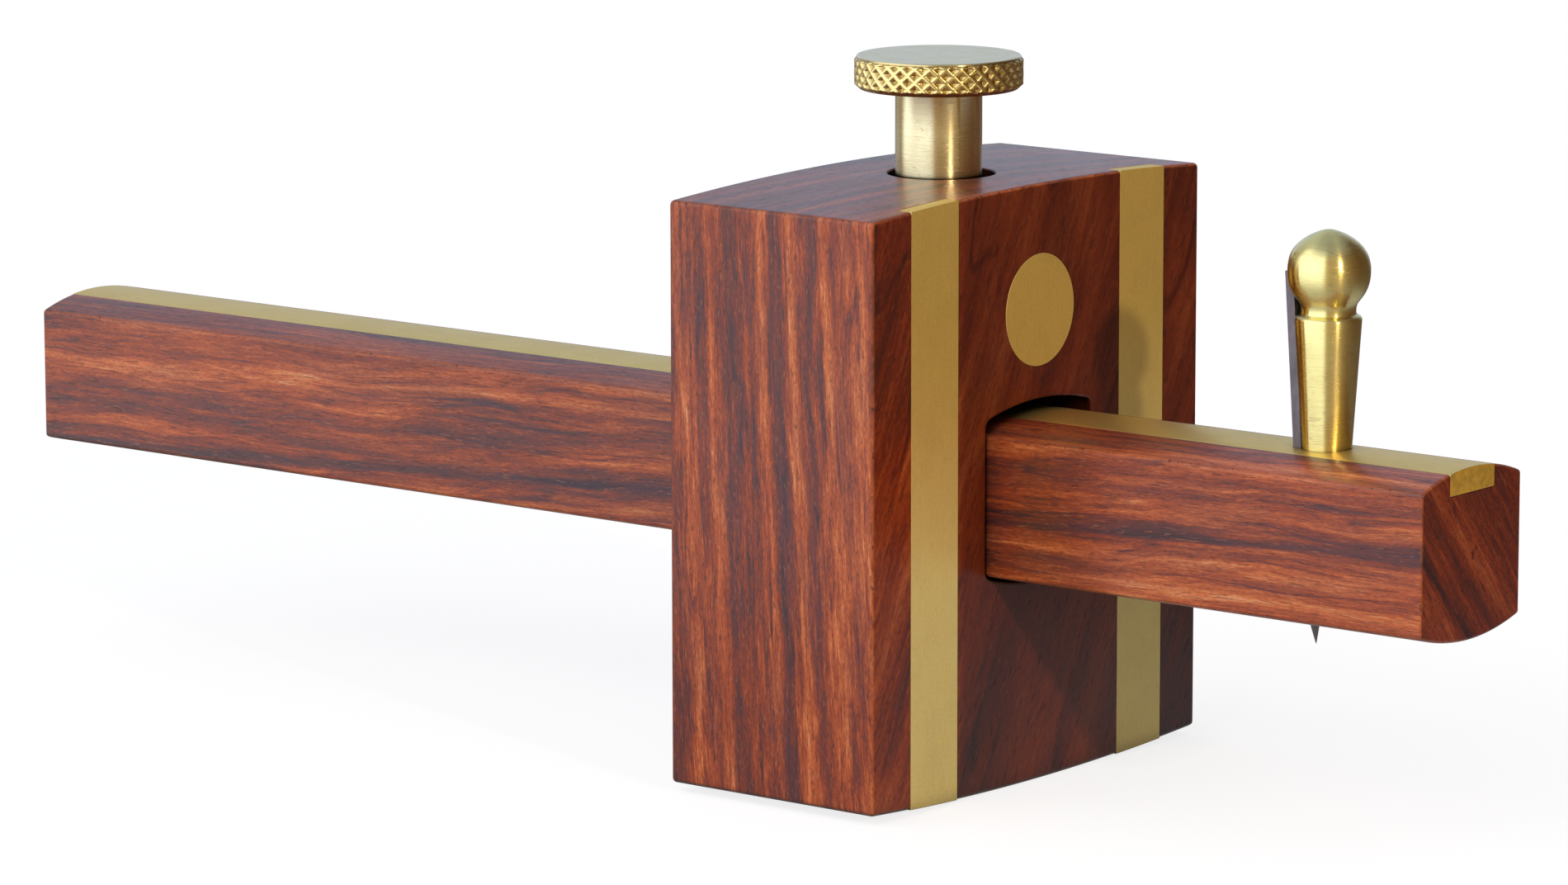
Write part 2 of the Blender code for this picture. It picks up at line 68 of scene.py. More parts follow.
STOCK = box_of("stock")
STEM = box_of("stem")
RIB = box_of("stem_strip")
NUT = box_of("barrel_nut")
SCREW = box_of("thumbscrew")
PAD = box_of("pressure_pad")
WEDGE = box_of("wedge_pin")
STRIP = box_of("face_strip_right")

# the stock and the stem are arched above and below
STOCK_RISE, STOCK_DROP = mm(1.07, 1.11)
STOCK_ARCH = dict(
    half=STOCK.size.y / 2,
    top=STOCK.high.z - STOCK_RISE,
    rise=STOCK_RISE,
    base=STOCK.low.z + STOCK_DROP,
    drop=STOCK_DROP,
)
STEM_RISE, STEM_DROP = mm(1.84, 1.54)
STEM_TOP, STEM_BASE = RIB.high.z - STEM_RISE, STEM.low.z + STEM_DROP
STEM_HALF = STEM.size.y / 2

SCREW_X = (SCREW.low.x + SCREW.high.x) / 2
STRIP_Y = abs((STRIP.low.y + STRIP.high.y) / 2)
WEDGE_X = 40.35 * MM

# the knife leans over in the XZ plane, about a point inside the stem
KNIFE_LEAN = 0.0686
KNIFE_X, KNIFE_Z = mm(37.67, -11.8)
KNIFE_PLACE = Matrix.Translation((KNIFE_X, 0, KNIFE_Z)) @ Matrix.Rotation(-KNIFE_LEAN, 4, "Y")


# ---- Outlines ----------------------------------------------------------------------------


def arc(y0, y1, half, level, rise, steps):
    """YZ points from y0 to y1 on an arch that leaves level by rise (down if negative) at y = 0
    and meets it at half."""
    height = abs(rise)
    radius = (half**2 + height**2) / (2 * height)
    way = math.copysign(1, rise)
    across = [y0 + (y1 - y0) * i / steps for i in range(steps + 1)]
    return [(y, level + way * (math.sqrt(radius**2 - y**2) - (radius - height))) for y in across]


def arched(y0, y1, half, top, rise, base, drop, steps):
    """Anticlockwise outline, seen from +X, arched above and below."""
    return arc(y0, y1, half, base, -drop, steps) + arc(y1, y0, half, top, rise, steps)


def rounded_outline(points, radius, steps=5, limit=40):
    """Rounds the corners of a closed outline that turn by more than limit degrees."""
    out = []
    corners = [Vector(point) for point in points]
    for i, corner in enumerate(corners):
        to_last = (corners[i - 1] - corner).normalized()
        to_next = (corners[(i + 1) % len(corners)] - corner).normalized()
        turn = math.pi - math.acos(max(-1, min(1, to_last.dot(to_next))))
        if math.degrees(turn) < limit:
            out.append(tuple(corner))
            continue
        back = radius * math.tan(turn / 2)
        centre = corner + (to_last + to_next).normalized() * (radius / math.cos(turn / 2))
        start = corner + to_last * back - centre
        end = corner + to_next * back - centre
        for k in range(steps + 1):
            # a spherical mix of the two radii keeps the arc true
            from_start = math.sin((1 - k / steps) * turn) / math.sin(turn)
            from_end = math.sin(k / steps * turn) / math.sin(turn)
            out.append(tuple(centre + start * from_start + end * from_end))
    return out


def grown(outline, amount):
    """Moves an anticlockwise outline outward."""
    out = []
    for i, point in enumerate(outline):
        tangent = (Vector(outline[(i + 1) % len(outline)]) - Vector(outline[i - 1])).normalized()
        out.append(tuple(Vector(point) + Vector((tangent.y, -tangent.x)) * amount))
    return out


def quarter_round(radius, top, corner, steps):
    """Lathe points round an upper outer edge."""
    angles = [math.pi / 2 * k / steps for k in range(steps + 1)]
    return [
        (radius - corner + corner * math.sin(a), top - corner + corner * math.cos(a))
        for a in angles
    ]


# ---- Meshes ------------------------------------------------------------------------------


def add_object(name, mesh):
    obj = bpy.data.objects.new(name, mesh)
    bpy.context.scene.collection.objects.link(obj)
    return obj


def mesh_object(name, verts, faces):
    mesh = bpy.data.meshes.new(name)
    mesh.from_pydata([tuple(v) for v in verts], [], faces)
    mesh.update()
    return add_object(name, mesh)


def loft_x(name, sections):
    """Closed body through (x, YZ outline) sections at rising x, with equal point counts."""
    n = len(sections[0][1])
    verts = [(x, y, z) for x, outline in sections for y, z in outline]
    faces = [list(range(n))[::-1], [(len(sections) - 1) * n + i for i in range(n)]]
    for k in range(len(sections) - 1):
        a, b = k * n, (k + 1) * n
        faces += [[a + i, a + (i + 1) % n, b + (i + 1) % n, b + i] for i in range(n)]
    return mesh_object(name, verts, faces)


def prism(name, outline, x0, x1):
    return loft_x(name, [(x0, outline), (x1, outline)])


def lathe(name, profile, steps, shape=None):
    """Turns (radius, z) points, top to bottom, about Z; the first and last lie on the axis.
    shape(row, angle, r, z) may move a point."""
    rows = profile[1:-1]
    verts = [(0, 0, profile[0][1])]
    for row, (r, z) in enumerate(rows):
        for i in range(steps):
            angle = 2 * math.pi * i / steps
            new_r, new_z = shape(row, angle, r, z) if shape else (r, z)
            verts.append((new_r * math.cos(angle), new_r * math.sin(angle), new_z))
    verts.append((0, 0, profile[-1][1]))
    faces = [[0, 1 + i, 1 + (i + 1) % steps] for i in range(steps)]
    for row in range(len(rows) - 1):
        a, b = 1 + row * steps, 1 + (row + 1) * steps
        faces += [
            [a + i, b + i, b + (i + 1) % steps, a + (i + 1) % steps] for i in range(steps)
        ]
    last, a = len(verts) - 1, 1 + (len(rows) - 1) * steps
    faces += [[a + i, last, a + (i + 1) % steps] for i in range(steps)]
    return mesh_object(name, verts, faces)


def tube(name, radius, start, end, steps, flare=None):
    """A cutting cylinder; flare=(radius, depth) widens it at its end."""
    start, end = Vector(start), Vector(end)
    length = (end - start).length
    profile = [(0, length), (radius, length), (radius, 0), (0, 0)]
    if flare:
        wide, depth = flare
        profile[1:2] = [
            (wide, length),
            (wide, length - depth),
            (radius, length - depth - (wide - radius)),
        ]
    obj = lathe(name, profile, steps)
    turn = (end - start).to_track_quat("Z", "Y").to_matrix().to_4x4()
    obj.data.transform(Matrix.Translation(start) @ turn)
    return obj


def block(name, low, high):
    low, high = Vector(low), Vector(high)
    bm = bmesh.new()
    bmesh.ops.create_cube(bm, size=1.0)
    bmesh.ops.scale(bm, vec=high - low, verts=bm.verts)
    bmesh.ops.translate(bm, vec=(low + high) / 2, verts=bm.verts)
    mesh = bpy.data.meshes.new(name)
    bm.to_mesh(mesh)
    bm.free()
    return add_object(name, mesh)


def bake(obj):
    """Applies an object's modifiers."""
    bpy.context.view_layer.update()
    graph = bpy.context.evaluated_depsgraph_get()
    mesh = bpy.data.meshes.new_from_object(obj.evaluated_get(graph), depsgraph=graph)
    old = obj.data
    obj.modifiers.clear()
    obj.data = mesh
    mesh.name = obj.name
    bpy.data.meshes.remove(old)


def bevel(obj, width, segments, angle=35):
    mod = obj.modifiers.new("edge", "BEVEL")
    mod.width = width
    mod.segments = segments
    mod.limit_method = "ANGLE"
    mod.angle_limit = math.radians(angle)
    mod.profile = 0.5
    bake(obj)


def carve(obj, *cutters):
    """Cuts the cutters out of obj, then removes them."""
    for cutter in cutters:
        mod = obj.modifiers.new("cut", "BOOLEAN")
        mod.operation = "DIFFERENCE"
        mod.solver = "EXACT"
        mod.object = cutter
    bake(obj)
    for cutter in cutters:
        mesh = cutter.data
        bpy.data.objects.remove(cutter, do_unlink=True)
        bpy.data.meshes.remove(mesh)


def smooth(obj, angle=32, weighted=True):
    obj.data.shade_smooth()
    obj.data.set_sharp_from_angle(angle=math.radians(angle))
    if weighted:
        mod = obj.modifiers.new("normals", "WEIGHTED_NORMAL")
        mod.keep_sharp = True
        mod.weight = 100
        mod.mode = "FACE_AREA"


def move_x(obj, x):
    obj.data.transform(Matrix.Translation((x, 0, 0)))


def place(obj, body, slot, material, *nodes):
    """Gives obj its material and ties it to the frame."""
    obj.data.materials.clear()
    obj.data.materials.append(material)
    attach(obj, body)
    if nodes:
        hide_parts(*nodes)


# ---- Shader nodes ------------------------------------------------------------------------


def colour(value):
    if isinstance(value, (int, float)):
        return (value, value, value, 1.0)
    return (*value[:3], 1.0)


def directed(axis, across, along):
    """A scale vector with one value along an axis and another across it."""
    values = [across] * 3
    values[axis] = along
    return tuple(values)


class Nodes:
    """Short ways to add shader nodes to a tree; values may be sockets or constants."""

    def __init__(self, tree):
        self.tree = tree

    def new(self, kind, **settings):
        node = self.tree.nodes.new(kind)
        for name, value in settings.items():
            setattr(node, name, value)
        return node

    def put(self, socket, value):
        if isinstance(value, bpy.types.NodeSocket):
            self.tree.links.new(value, socket)
        else:
            socket.default_value = value

    def fill(self, node, *values):
        for socket, value in zip(node.inputs, values):
            self.put(socket, value)
        return node

    def math(self, op, *values):
        return self.fill(self.new("ShaderNodeMath", operation=op), *values).outputs[0]

    def add(self, a, b):
        return self.math("ADD", a, b)

    def sub(self, a, b):
        return self.math("SUBTRACT", a, b)

    def mul(self, a, b):
        return self.math("MULTIPLY", a, b)

    def vmath(self, op, *values, scale=None):
        node = self.fill(self.new("ShaderNodeVectorMath", operation=op), *values)
        if scale is not None:
            self.put(node.inputs["Scale"], scale)
        return node.outputs["Value" if op in ("DOT_PRODUCT", "LENGTH") else "Vector"]

    def dot(self, vector, way):
        return self.vmath("DOT_PRODUCT", vector, tuple(way))

    def combine(self, x, y, z):
        return self.fill(self.new("ShaderNodeCombineXYZ"), x, y, z).outputs[0]

    def split(self, vector):
        return tuple(self.fill(self.new("ShaderNodeSeparateXYZ"), vector).outputs)

    def noise(self, vector, detail, rough=0.5, scale=1.0):
        node = self.new("ShaderNodeTexNoise")
        self.put(node.inputs["Vector"], vector)
        self.put(node.inputs["Scale"], scale)
        self.put(node.inputs["Detail"], detail)
        self.put(node.inputs["Roughness"], rough)
        return node.outputs["Fac"]

    def cloud(self, where, per_mm, detail, rough=0.5):
        """Noise with per_mm features to the millimetre, or one such number for each axis."""
        if isinstance(per_mm, tuple):
            return self.noise(self.vmath("MULTIPLY", where, per_mm), detail, rough)
        return self.noise(self.vmath("SCALE", where, scale=per_mm), detail, rough)

    def remap(self, value, low, high, to_low=0.0, to_high=1.0, clamp=True, kind="LINEAR"):
        node = self.new("ShaderNodeMapRange", interpolation_type=kind, clamp=clamp)
        return self.fill(node, value, low, high, to_low, to_high).outputs[0]

    def step(self, value, low, high, to_low=0.0, to_high=1.0):
        """Smooth step from low to high; low may be the larger."""
        return self.remap(value, low, high, to_low, to_high, kind="SMOOTHSTEP")

    def swing(self, noise, size):
        """Noise spread about nought, mostly within size."""
        return self.remap(noise, 0.3, 0.7, -size, size, clamp=False)

    def ramp(self, value, stops):
        """A colour ramp through (place, colour) stops."""
        node = self.fill(self.new("ShaderNodeValToRGB"), value)
        elements = node.color_ramp.elements
        while len(elements) > 1:
            elements.remove(elements[-1])
        elements[0].position = stops[0][0]
        elements[0].color = colour(stops[0][1])
        for position, value_there in stops[1:]:
            elements.new(position).color = colour(value_there)
        return node

    def linear_ramp(self, value, stops):
        node = self.ramp(value, stops)
        node.color_ramp.interpolation = "LINEAR"
        return node.outputs["Color"]

    def eased_ramp(self, value, stops):
        node = self.ramp(value, stops)
        node.color_ramp.interpolation = "EASE"
        return node.outputs["Color"]

    def mix(self, factor, a, b, blend="MIX"):
        node = self.new("ShaderNodeMix", data_type="RGBA", blend_type=blend)
        self.put(node.inputs[0], factor)
        for index, value in ((6, a), (7, b)):
            is_socket = isinstance(value, bpy.types.NodeSocket)
            self.put(node.inputs[index], value if is_socket else colour(value))
        return node.outputs[2]

    def multiplied(self, base, tint):
        return self.mix(1.0, base, tint, "MULTIPLY")

    def tinted(self, factor, base, tint):
        """base, multiplied by tint as far as factor says."""
        return self.mix(factor, base, self.multiplied(base, tint))


class Shader(Nodes):
    """A new material on a Principled BSDF."""

    INPUTS = {
        "base": "Base Color",
        "rough": "Roughness",
        "metal": "Metallic",
        "normal": "Normal",
        "coat": "Coat Weight",
        "coat_rough": "Coat Roughness",
        "coat_normal": "Coat Normal",
        "spec": "Specular IOR Level",
        "aniso": "Anisotropic",
        "tangent": "Tangent",
    }

    def __init__(self, name):
        self.material = bpy.data.materials.new(name)
        self.material.use_nodes = True
        super().__init__(self.material.node_tree)
        self.bsdf = self.tree.nodes["Principled BSDF"]
        self.coord = self.new("ShaderNodeTexCoord")

    def object_mm(self):
        return self.vmath("SCALE", self.coord.outputs["Object"], scale=1000.0)

    def normal_sizes(self):
        return self.split(self.vmath("ABSOLUTE", self.coord.outputs["Normal"]))

    def flatness(self, sizes):
        """Largest part of the normal: 1 on a squared block's faces, less on rounded edges."""
        x, y, z = sizes
        return self.math("MAXIMUM", self.math("MAXIMUM", x, y), z)

    def paint_corner_shade(self, base, reach, low, high, floor):
        """Darkens base in tight corners, painted shade where little light reaches; reach is in
        mm.
        """
        node = self.new("ShaderNodeAmbientOcclusion", samples=8)
        node.inputs["Distance"].default_value = reach / 1000
        return self.multiplied(base, self.step(node.outputs["AO"], low, high, floor, 1.0))

    def bump(self, height, strength, distance):
        node = self.new("ShaderNodeBump")
        self.put(node.inputs["Height"], height)
        self.put(node.inputs["Strength"], strength)
        self.put(node.inputs["Distance"], distance)
        return node.outputs["Normal"]

    def finish(self, **values):
        for key, value in values.items():
            self.put(self.bsdf.inputs[self.INPUTS[key]], value)
        return self.material


# ---- Wood --------------------------------------------------------------------------------

# Noise drawn out along the grain. Columns: features per mm across the layers, along the
# layers and along the fibres; detail; roughness; whether run stretches it.
BENDS = {
    "drift": (0.045, 0.035, 0.016, 1, 0.55, False),
    "wander": (0.17, 0.12, 0.045, 1, 0.55, False),
    "quiver": (0.50, 0.40, 0.13, 1, 0.55, True),
}
GRAIN = {
    "middle": (0.42, 0.16, 0.017, 2, 0.55, True),
    "streak": (1.20, 0.50, 0.036, 2, 0.60, True),
    "fine": (3.0, 1.7, 0.095, 2, 0.60, True),
    "fibre": (8.0, 6.0, 0.42, 1, 0.6, True),
    "speck": (5.5, 5.5, 1.5, 1, 0.5, False),
    "veins": (0.55, 0.25, 0.026, 1, 0.5, False),
    "wisps": (2.1, 1.3, 0.125, 1, 0.5, True),
    "cast": (0.33, 0.2, 0.05, 2, 0.55, False),
    "long_pores": (4.6, 4.6, 0.40, 1, 0.4, False),
    "short_pores": (8.0, 8.0, 1.0, 1, 0.4, False),
    "painted_glint": (5.0, 4.0, 0.60, 1, 0.5, False),
}
WOOD_COLOURS = [  # (tone, colour)
    (0.00, (0.056, 0.020, 0.024)),
    (0.16, (0.100, 0.028, 0.027)),
    (0.33, (0.165, 0.034, 0.022)),
    (0.50, (0.290, 0.050, 0.018)),
    (0.68, (0.475, 0.096, 0.026)),
    (0.86, (0.680, 0.185, 0.054)),
    (1.00, (0.780, 0.330, 0.150)),
]


class Rosewood(Shader):
    """Oily dark rosewood. fibres is the way the fibres run and layers the way across the
    growth layers; end_layers replaces layers on end grain, on the faces across end_axis.
    wave bends the layers, run below 1 makes the streaks longer, and sheet below 1 makes them
    wider along the layers."""

    def __init__(
        self, name, fibres, layers, seed, end_axis, wave, run=1.0, sheet=1.0, end_layers=None
    ):
        super().__init__(name)
        self.run, self.sheet = run, sheet
        self.upright = end_axis == 2
        fibres, layers = Vector(fibres).normalized(), Vector(layers)
        self.layers = (layers - fibres * layers.dot(fibres)).normalized()
        self.raw = self.object_mm()
        moved = self.vmath("ADD", self.raw, seed)
        self.along = self.dot(moved, fibres)
        across = self.dot(moved, self.layers)
        self.sizes = self.normal_sizes()
        self.end = self.step(self.sizes[end_axis], low=0.80, high=0.95)
        if end_layers:
            other = self.dot(moved, Vector(end_layers).normalized())
            across = self.add(across, self.mul(self.end, self.sub(other, across)))
        # on end grain the layers are seen as long lines
        self.over = self.mul(
            self.dot(moved, fibres.cross(self.layers)), self.sub(1.0, self.mul(self.end, 0.82))
        )
        drift, wander, quiver = (
            self.sub(self.stretched(across, *row), 0.5) for row in BENDS.values()
        )
        self.shift = self.add(
            self.mul(drift, 6.0 * wave),
            self.add(self.mul(wander, 2.4 * wave), self.mul(quiver, 0.45 * wave)),
        )
        bent = self.add(across, self.shift)
        self.grain = {name: self.stretched(bent, *row) for name, row in GRAIN.items()}

    def stretched(self, layer, across, over, length, detail, rough, runs):
        vector = self.combine(
            self.mul(layer, across),
            self.mul(self.over, over * self.sheet),
            self.mul(self.along, length * self.run if runs else length),
        )
        return self.noise(vector, detail, rough)

    def grain_tone(self, contrast):
        grain = self.grain
        tone = self.swing(grain["middle"], 0.15 * contrast)
        for name, size in (
            ("streak", 0.19 * contrast),
            ("fine", 0.11 * contrast),
            ("fibre", 0.055),
            ("speck", 0.065),
        ):
            tone = self.add(tone, self.swing(grain[name], size))
        # lens-shaped wisps where a pale layer comes to the surface
        wisp = self.step(grain["wisps"], low=0.57, high=0.72)
        tone = self.add(tone, self.mul(wisp, 0.13 * contrast))
        if self.upright:
            # the +X face is painted darker as shade, and its grain is calmer away from its -Y
            # edge
            x, y, _ = self.split(self.raw)
            self.x_face_shade_mask = self.mul(
                self.step(self.sizes[0], low=0.80, high=0.95), self.step(x, low=-20.0, high=-10.0)
            )
            self.calm_face_shade = self.mul(self.x_face_shade_mask, self.step(y, low=-17.0, high=-14.0))
            tone = self.mul(tone, self.sub(1.0, self.mul(self.calm_face_shade, 0.42)))
        tone = self.mul(tone, self.sub(1.0, self.mul(self.end, 0.30)))
        return self.add(tone, 0.50)

    def placed_tone(self, tone, bands, patches, lay):
        """Adds the given layers and soft spots, and the veins."""
        level = self.add(self.dot(self.raw, self.layers), self.mul(self.shift, 0.25))
        low, high = bands[0][0], bands[-1][0]
        laid = self.eased_ramp(
            self.remap(level, low, high),
            [((band - low) / (high - low), band_tone) for band, band_tone in bands],
        )
        tone = self.add(tone, self.mul(self.sub(laid, 0.5), lay))
        streak = self.grain["streak"]
        warp = self.mul(self.sub(streak, 0.5), 0.9)
        for centre, size, amount in patches:
            offset = self.vmath("SUBTRACT", self.raw, centre)
            away = self.vmath("LENGTH", self.vmath("DIVIDE", offset, size))
            spot = self.step(self.add(away, warp), low=1.0, high=0.1)
            tone = self.add(tone, self.mul(spot, amount))
        # dark blue-grey veins come and go along the layers
        vein = self.math("ABSOLUTE", self.sub(self.grain["veins"], 0.5))
        vein = self.step(vein, low=0.0, high=0.030, to_low=1.0, to_high=0.0)
        vein = self.mul(vein, self.step(streak, low=0.60, high=0.38))
        return self.sub(tone, self.mul(vein, 0.22))

    def grain_colour(self, tone, pores):
        grain, end = self.grain, self.end
        base = self.linear_ramp(tone, WOOD_COLOURS)
        # a cooler, pinker cast in patches
        cast = self.mul(self.step(grain["cast"], low=0.46, high=0.66), 0.45)
        base = self.tinted(cast, base, (0.86, 1.15, 1.75))
        base = self.mix(self.mul(pores, 0.46), base, (0.045, 0.014, 0.014))
        # pale flecks, painted highlights where pores catch the light
        painted_glint = self.mul(self.step(grain["painted_glint"], low=0.62, high=0.72), 0.20)
        base = self.mix(painted_glint, base, (0.72, 0.29, 0.14))
        if self.upright:
            # painted shade: the +X face is darkened, most of all away from its -Y edge
            base = self.tinted(self.x_face_shade_mask, base, (0.71, 0.56, 0.47))
            base = self.tinted(self.calm_face_shade, base, (0.57, 0.55, 0.58))
        # end grain drinks the finish and is darker and redder, with dark dots
        base = self.tinted(self.mul(end, 0.55), base, (0.42, 0.20, 0.18))
        dots = self.step(self.cloud(self.seeded, per_mm=2.6, detail=1), low=0.56, high=0.68)
        return self.mix(self.mul(end, self.mul(dots, 0.45)), base, (0.035, 0.010, 0.010))

    def wear_and_corner_shade(self, base):
        """Rubs the rounded edges lighter, with small bruises, and paints shade into tight
        corners.
        """
        edge = self.step(self.flatness(self.sizes), low=0.990, high=0.88)
        rub = self.cloud(self.raw, per_mm=0.8, detail=3, rough=0.6)
        rub = self.remap(rub, low=0.3, high=0.7, to_low=0.02, to_high=0.34)
        base = self.mix(self.mul(edge, rub), base, (0.50, 0.19, 0.09))
        bruise = self.step(self.cloud(self.raw, per_mm=1.7, detail=1), low=0.64, high=0.72)
        base = self.mix(self.mul(self.mul(edge, bruise), 0.7), base, (0.06, 0.018, 0.014))
        # painted shade in tight corners, from ambient occlusion
        return self.paint_corner_shade(base, reach=5.0, low=0.12, high=0.80, floor=0.05)

    def build(self, bands, patches, lay, contrast, lacquer):
        """bands are (place, tone) stops across the layers in mm, where tone 0.5 changes
        nothing; lay is their strength. patches are (centre, size, tone change) in mm."""
        grain = self.grain
        tone = self.placed_tone(self.grain_tone(contrast), bands, patches, lay)
        # short open pores, drawn out along the grain
        pores = self.math(
            "MAXIMUM",
            self.step(grain["long_pores"], low=0.635, high=0.70),
            self.mul(self.step(grain["short_pores"], low=0.63, high=0.70), 0.8),
        )
        rough = self.add(0.40, self.mul(self.sub(grain["fine"], 0.5), 0.20))
        height = self.add(self.mul(grain["fibre"], 0.35), self.mul(self.sub(1.0, pores), 0.65))
        gloss = self.cloud(self.raw, per_mm=0.12, detail=2)
        waves = self.cloud(self.raw, per_mm=0.50, detail=2)
        coat_height = self.add(self.mul(waves, 0.7), self.mul(height, 0.20))
        return self.finish(
            base=self.wear_and_corner_shade(self.grain_colour(tone, pores)),
            rough=self.add(rough, self.mul(pores, 0.16)),
            normal=self.bump(height, strength=0.45, distance=0.00007),
            coat=self.add(lacquer, self.mul(self.end, 0.22)) if self.upright else lacquer,
            coat_rough=self.add(0.19, self.mul(gloss, 0.14)),
            coat_normal=self.bump(coat_height, strength=0.20, distance=0.0002),
            spec=0.22,
        )

    @property
    def seeded(self):
        """The position in mm, moved by the wood's seed."""
        return self.along.node.inputs[0].links[0].from_socket if False else self._moved()

    def _moved(self):
        for link in self.tree.links:
            if link.to_node == self.along.node:
                return link.from_socket


# ---- Metals ------------------------------------------------------------------------------


def patina(s, where, base, dark, amount, per_mm):
    """Clouds and spots of dark over base; gives the colour and the clouds."""
    cloud = s.cloud(where, per_mm, detail=4, rough=0.6)
    spots = s.cloud(where, per_mm * 11, detail=2)
    tint = s.mix(s.mul(s.step(cloud, low=0.38, high=0.68), amount), base, dark)
    return s.mix(s.mul(s.step(spots, low=0.66, high=0.78), 0.25), tint, dark), cloud


def brushed_brass(name, along, base, rough, seed, metal=0.52, butt=None, pale=None):
    """Flat brass rubbed with fine abrasive, lines running along an axis. butt is the colour of
    its cut ends. Given two heights in mm, it is painted paler and less metallic from the first
    down to the second, painted light for the brighter light on its lower part."""
    s = Shader(name)
    where = s.vmath("ADD", s.object_mm(), (seed, seed * 1.7, seed * 0.3))
    lines = s.cloud(where, directed(along, across=8.0, along=0.30), detail=2, rough=0.7)
    lanes = s.cloud(where, directed(along, across=2.4, along=0.05), detail=3, rough=0.6)
    cross = s.cloud(where, directed(along, across=2.6, along=3.2), detail=2, rough=0.6)
    grit = s.cloud(where, per_mm=5.5, detail=1)
    tint, cloud = patina(s, where, base, dark=(0.70, 0.47, 0.11), amount=0.30, per_mm=0.14)
    for noise, low, high, amount, stroke in (
        (lanes, 0.3, 0.7, 0.22, (1.0, 0.80, 0.32)),
        (lines, 0.35, 0.65, 0.20, (0.62, 0.41, 0.10)),
        (cross, 0.35, 0.65, 0.24, (0.68, 0.48, 0.13)),
        (grit, 0.35, 0.65, 0.20, (1.0, 0.82, 0.36)),
    ):
        tint = s.mix(s.remap(noise, low, high, to_high=amount), tint, stroke)
    sizes = s.normal_sizes()
    # painted light: paler and less metallic towards the bottom
    if pale:
        _, _, height_mm = s.split(s.object_mm())
        painted_bright_low = s.step(height_mm, *pale)
        tint = s.tinted(painted_bright_low, tint, (1.10, 1.28, 1.85))
        metal = s.sub(metal, s.mul(painted_bright_low, 0.27))
    if butt:
        ends = s.step(sizes[along], low=0.90, high=0.98)
        mottle = s.cloud(where, per_mm=1.1, detail=3, rough=0.6)
        mottle = s.step(mottle, low=0.35, high=0.70)
        cut = s.mix(mottle, butt, tuple(0.74 * part for part in butt))
        tint = s.mix(ends, tint, cut)
        metal = s.sub(metal, s.mul(ends, 0.45))
    edge = s.step(s.flatness(sizes), low=0.985, high=0.88)
    tint = s.mix(s.mul(edge, 0.5), tint, (0.95, 0.76, 0.36))
    height = s.add(
        s.add(s.mul(lines, 0.45), s.mul(lanes, 0.3)),
        s.add(s.mul(cross, 0.45), s.mul(grit, 0.25)),
    )
    return s.finish(
        # painted shade in tight corners
        base=s.paint_corner_shade(tint, reach=4.0, low=0.15, high=0.85, floor=0.03),
        metal=metal,
        rough=s.add(rough - 0.06, s.mul(s.add(lines, cloud), 0.07)),
        normal=s.bump(height, strength=0.35, distance=0.00005),
    )


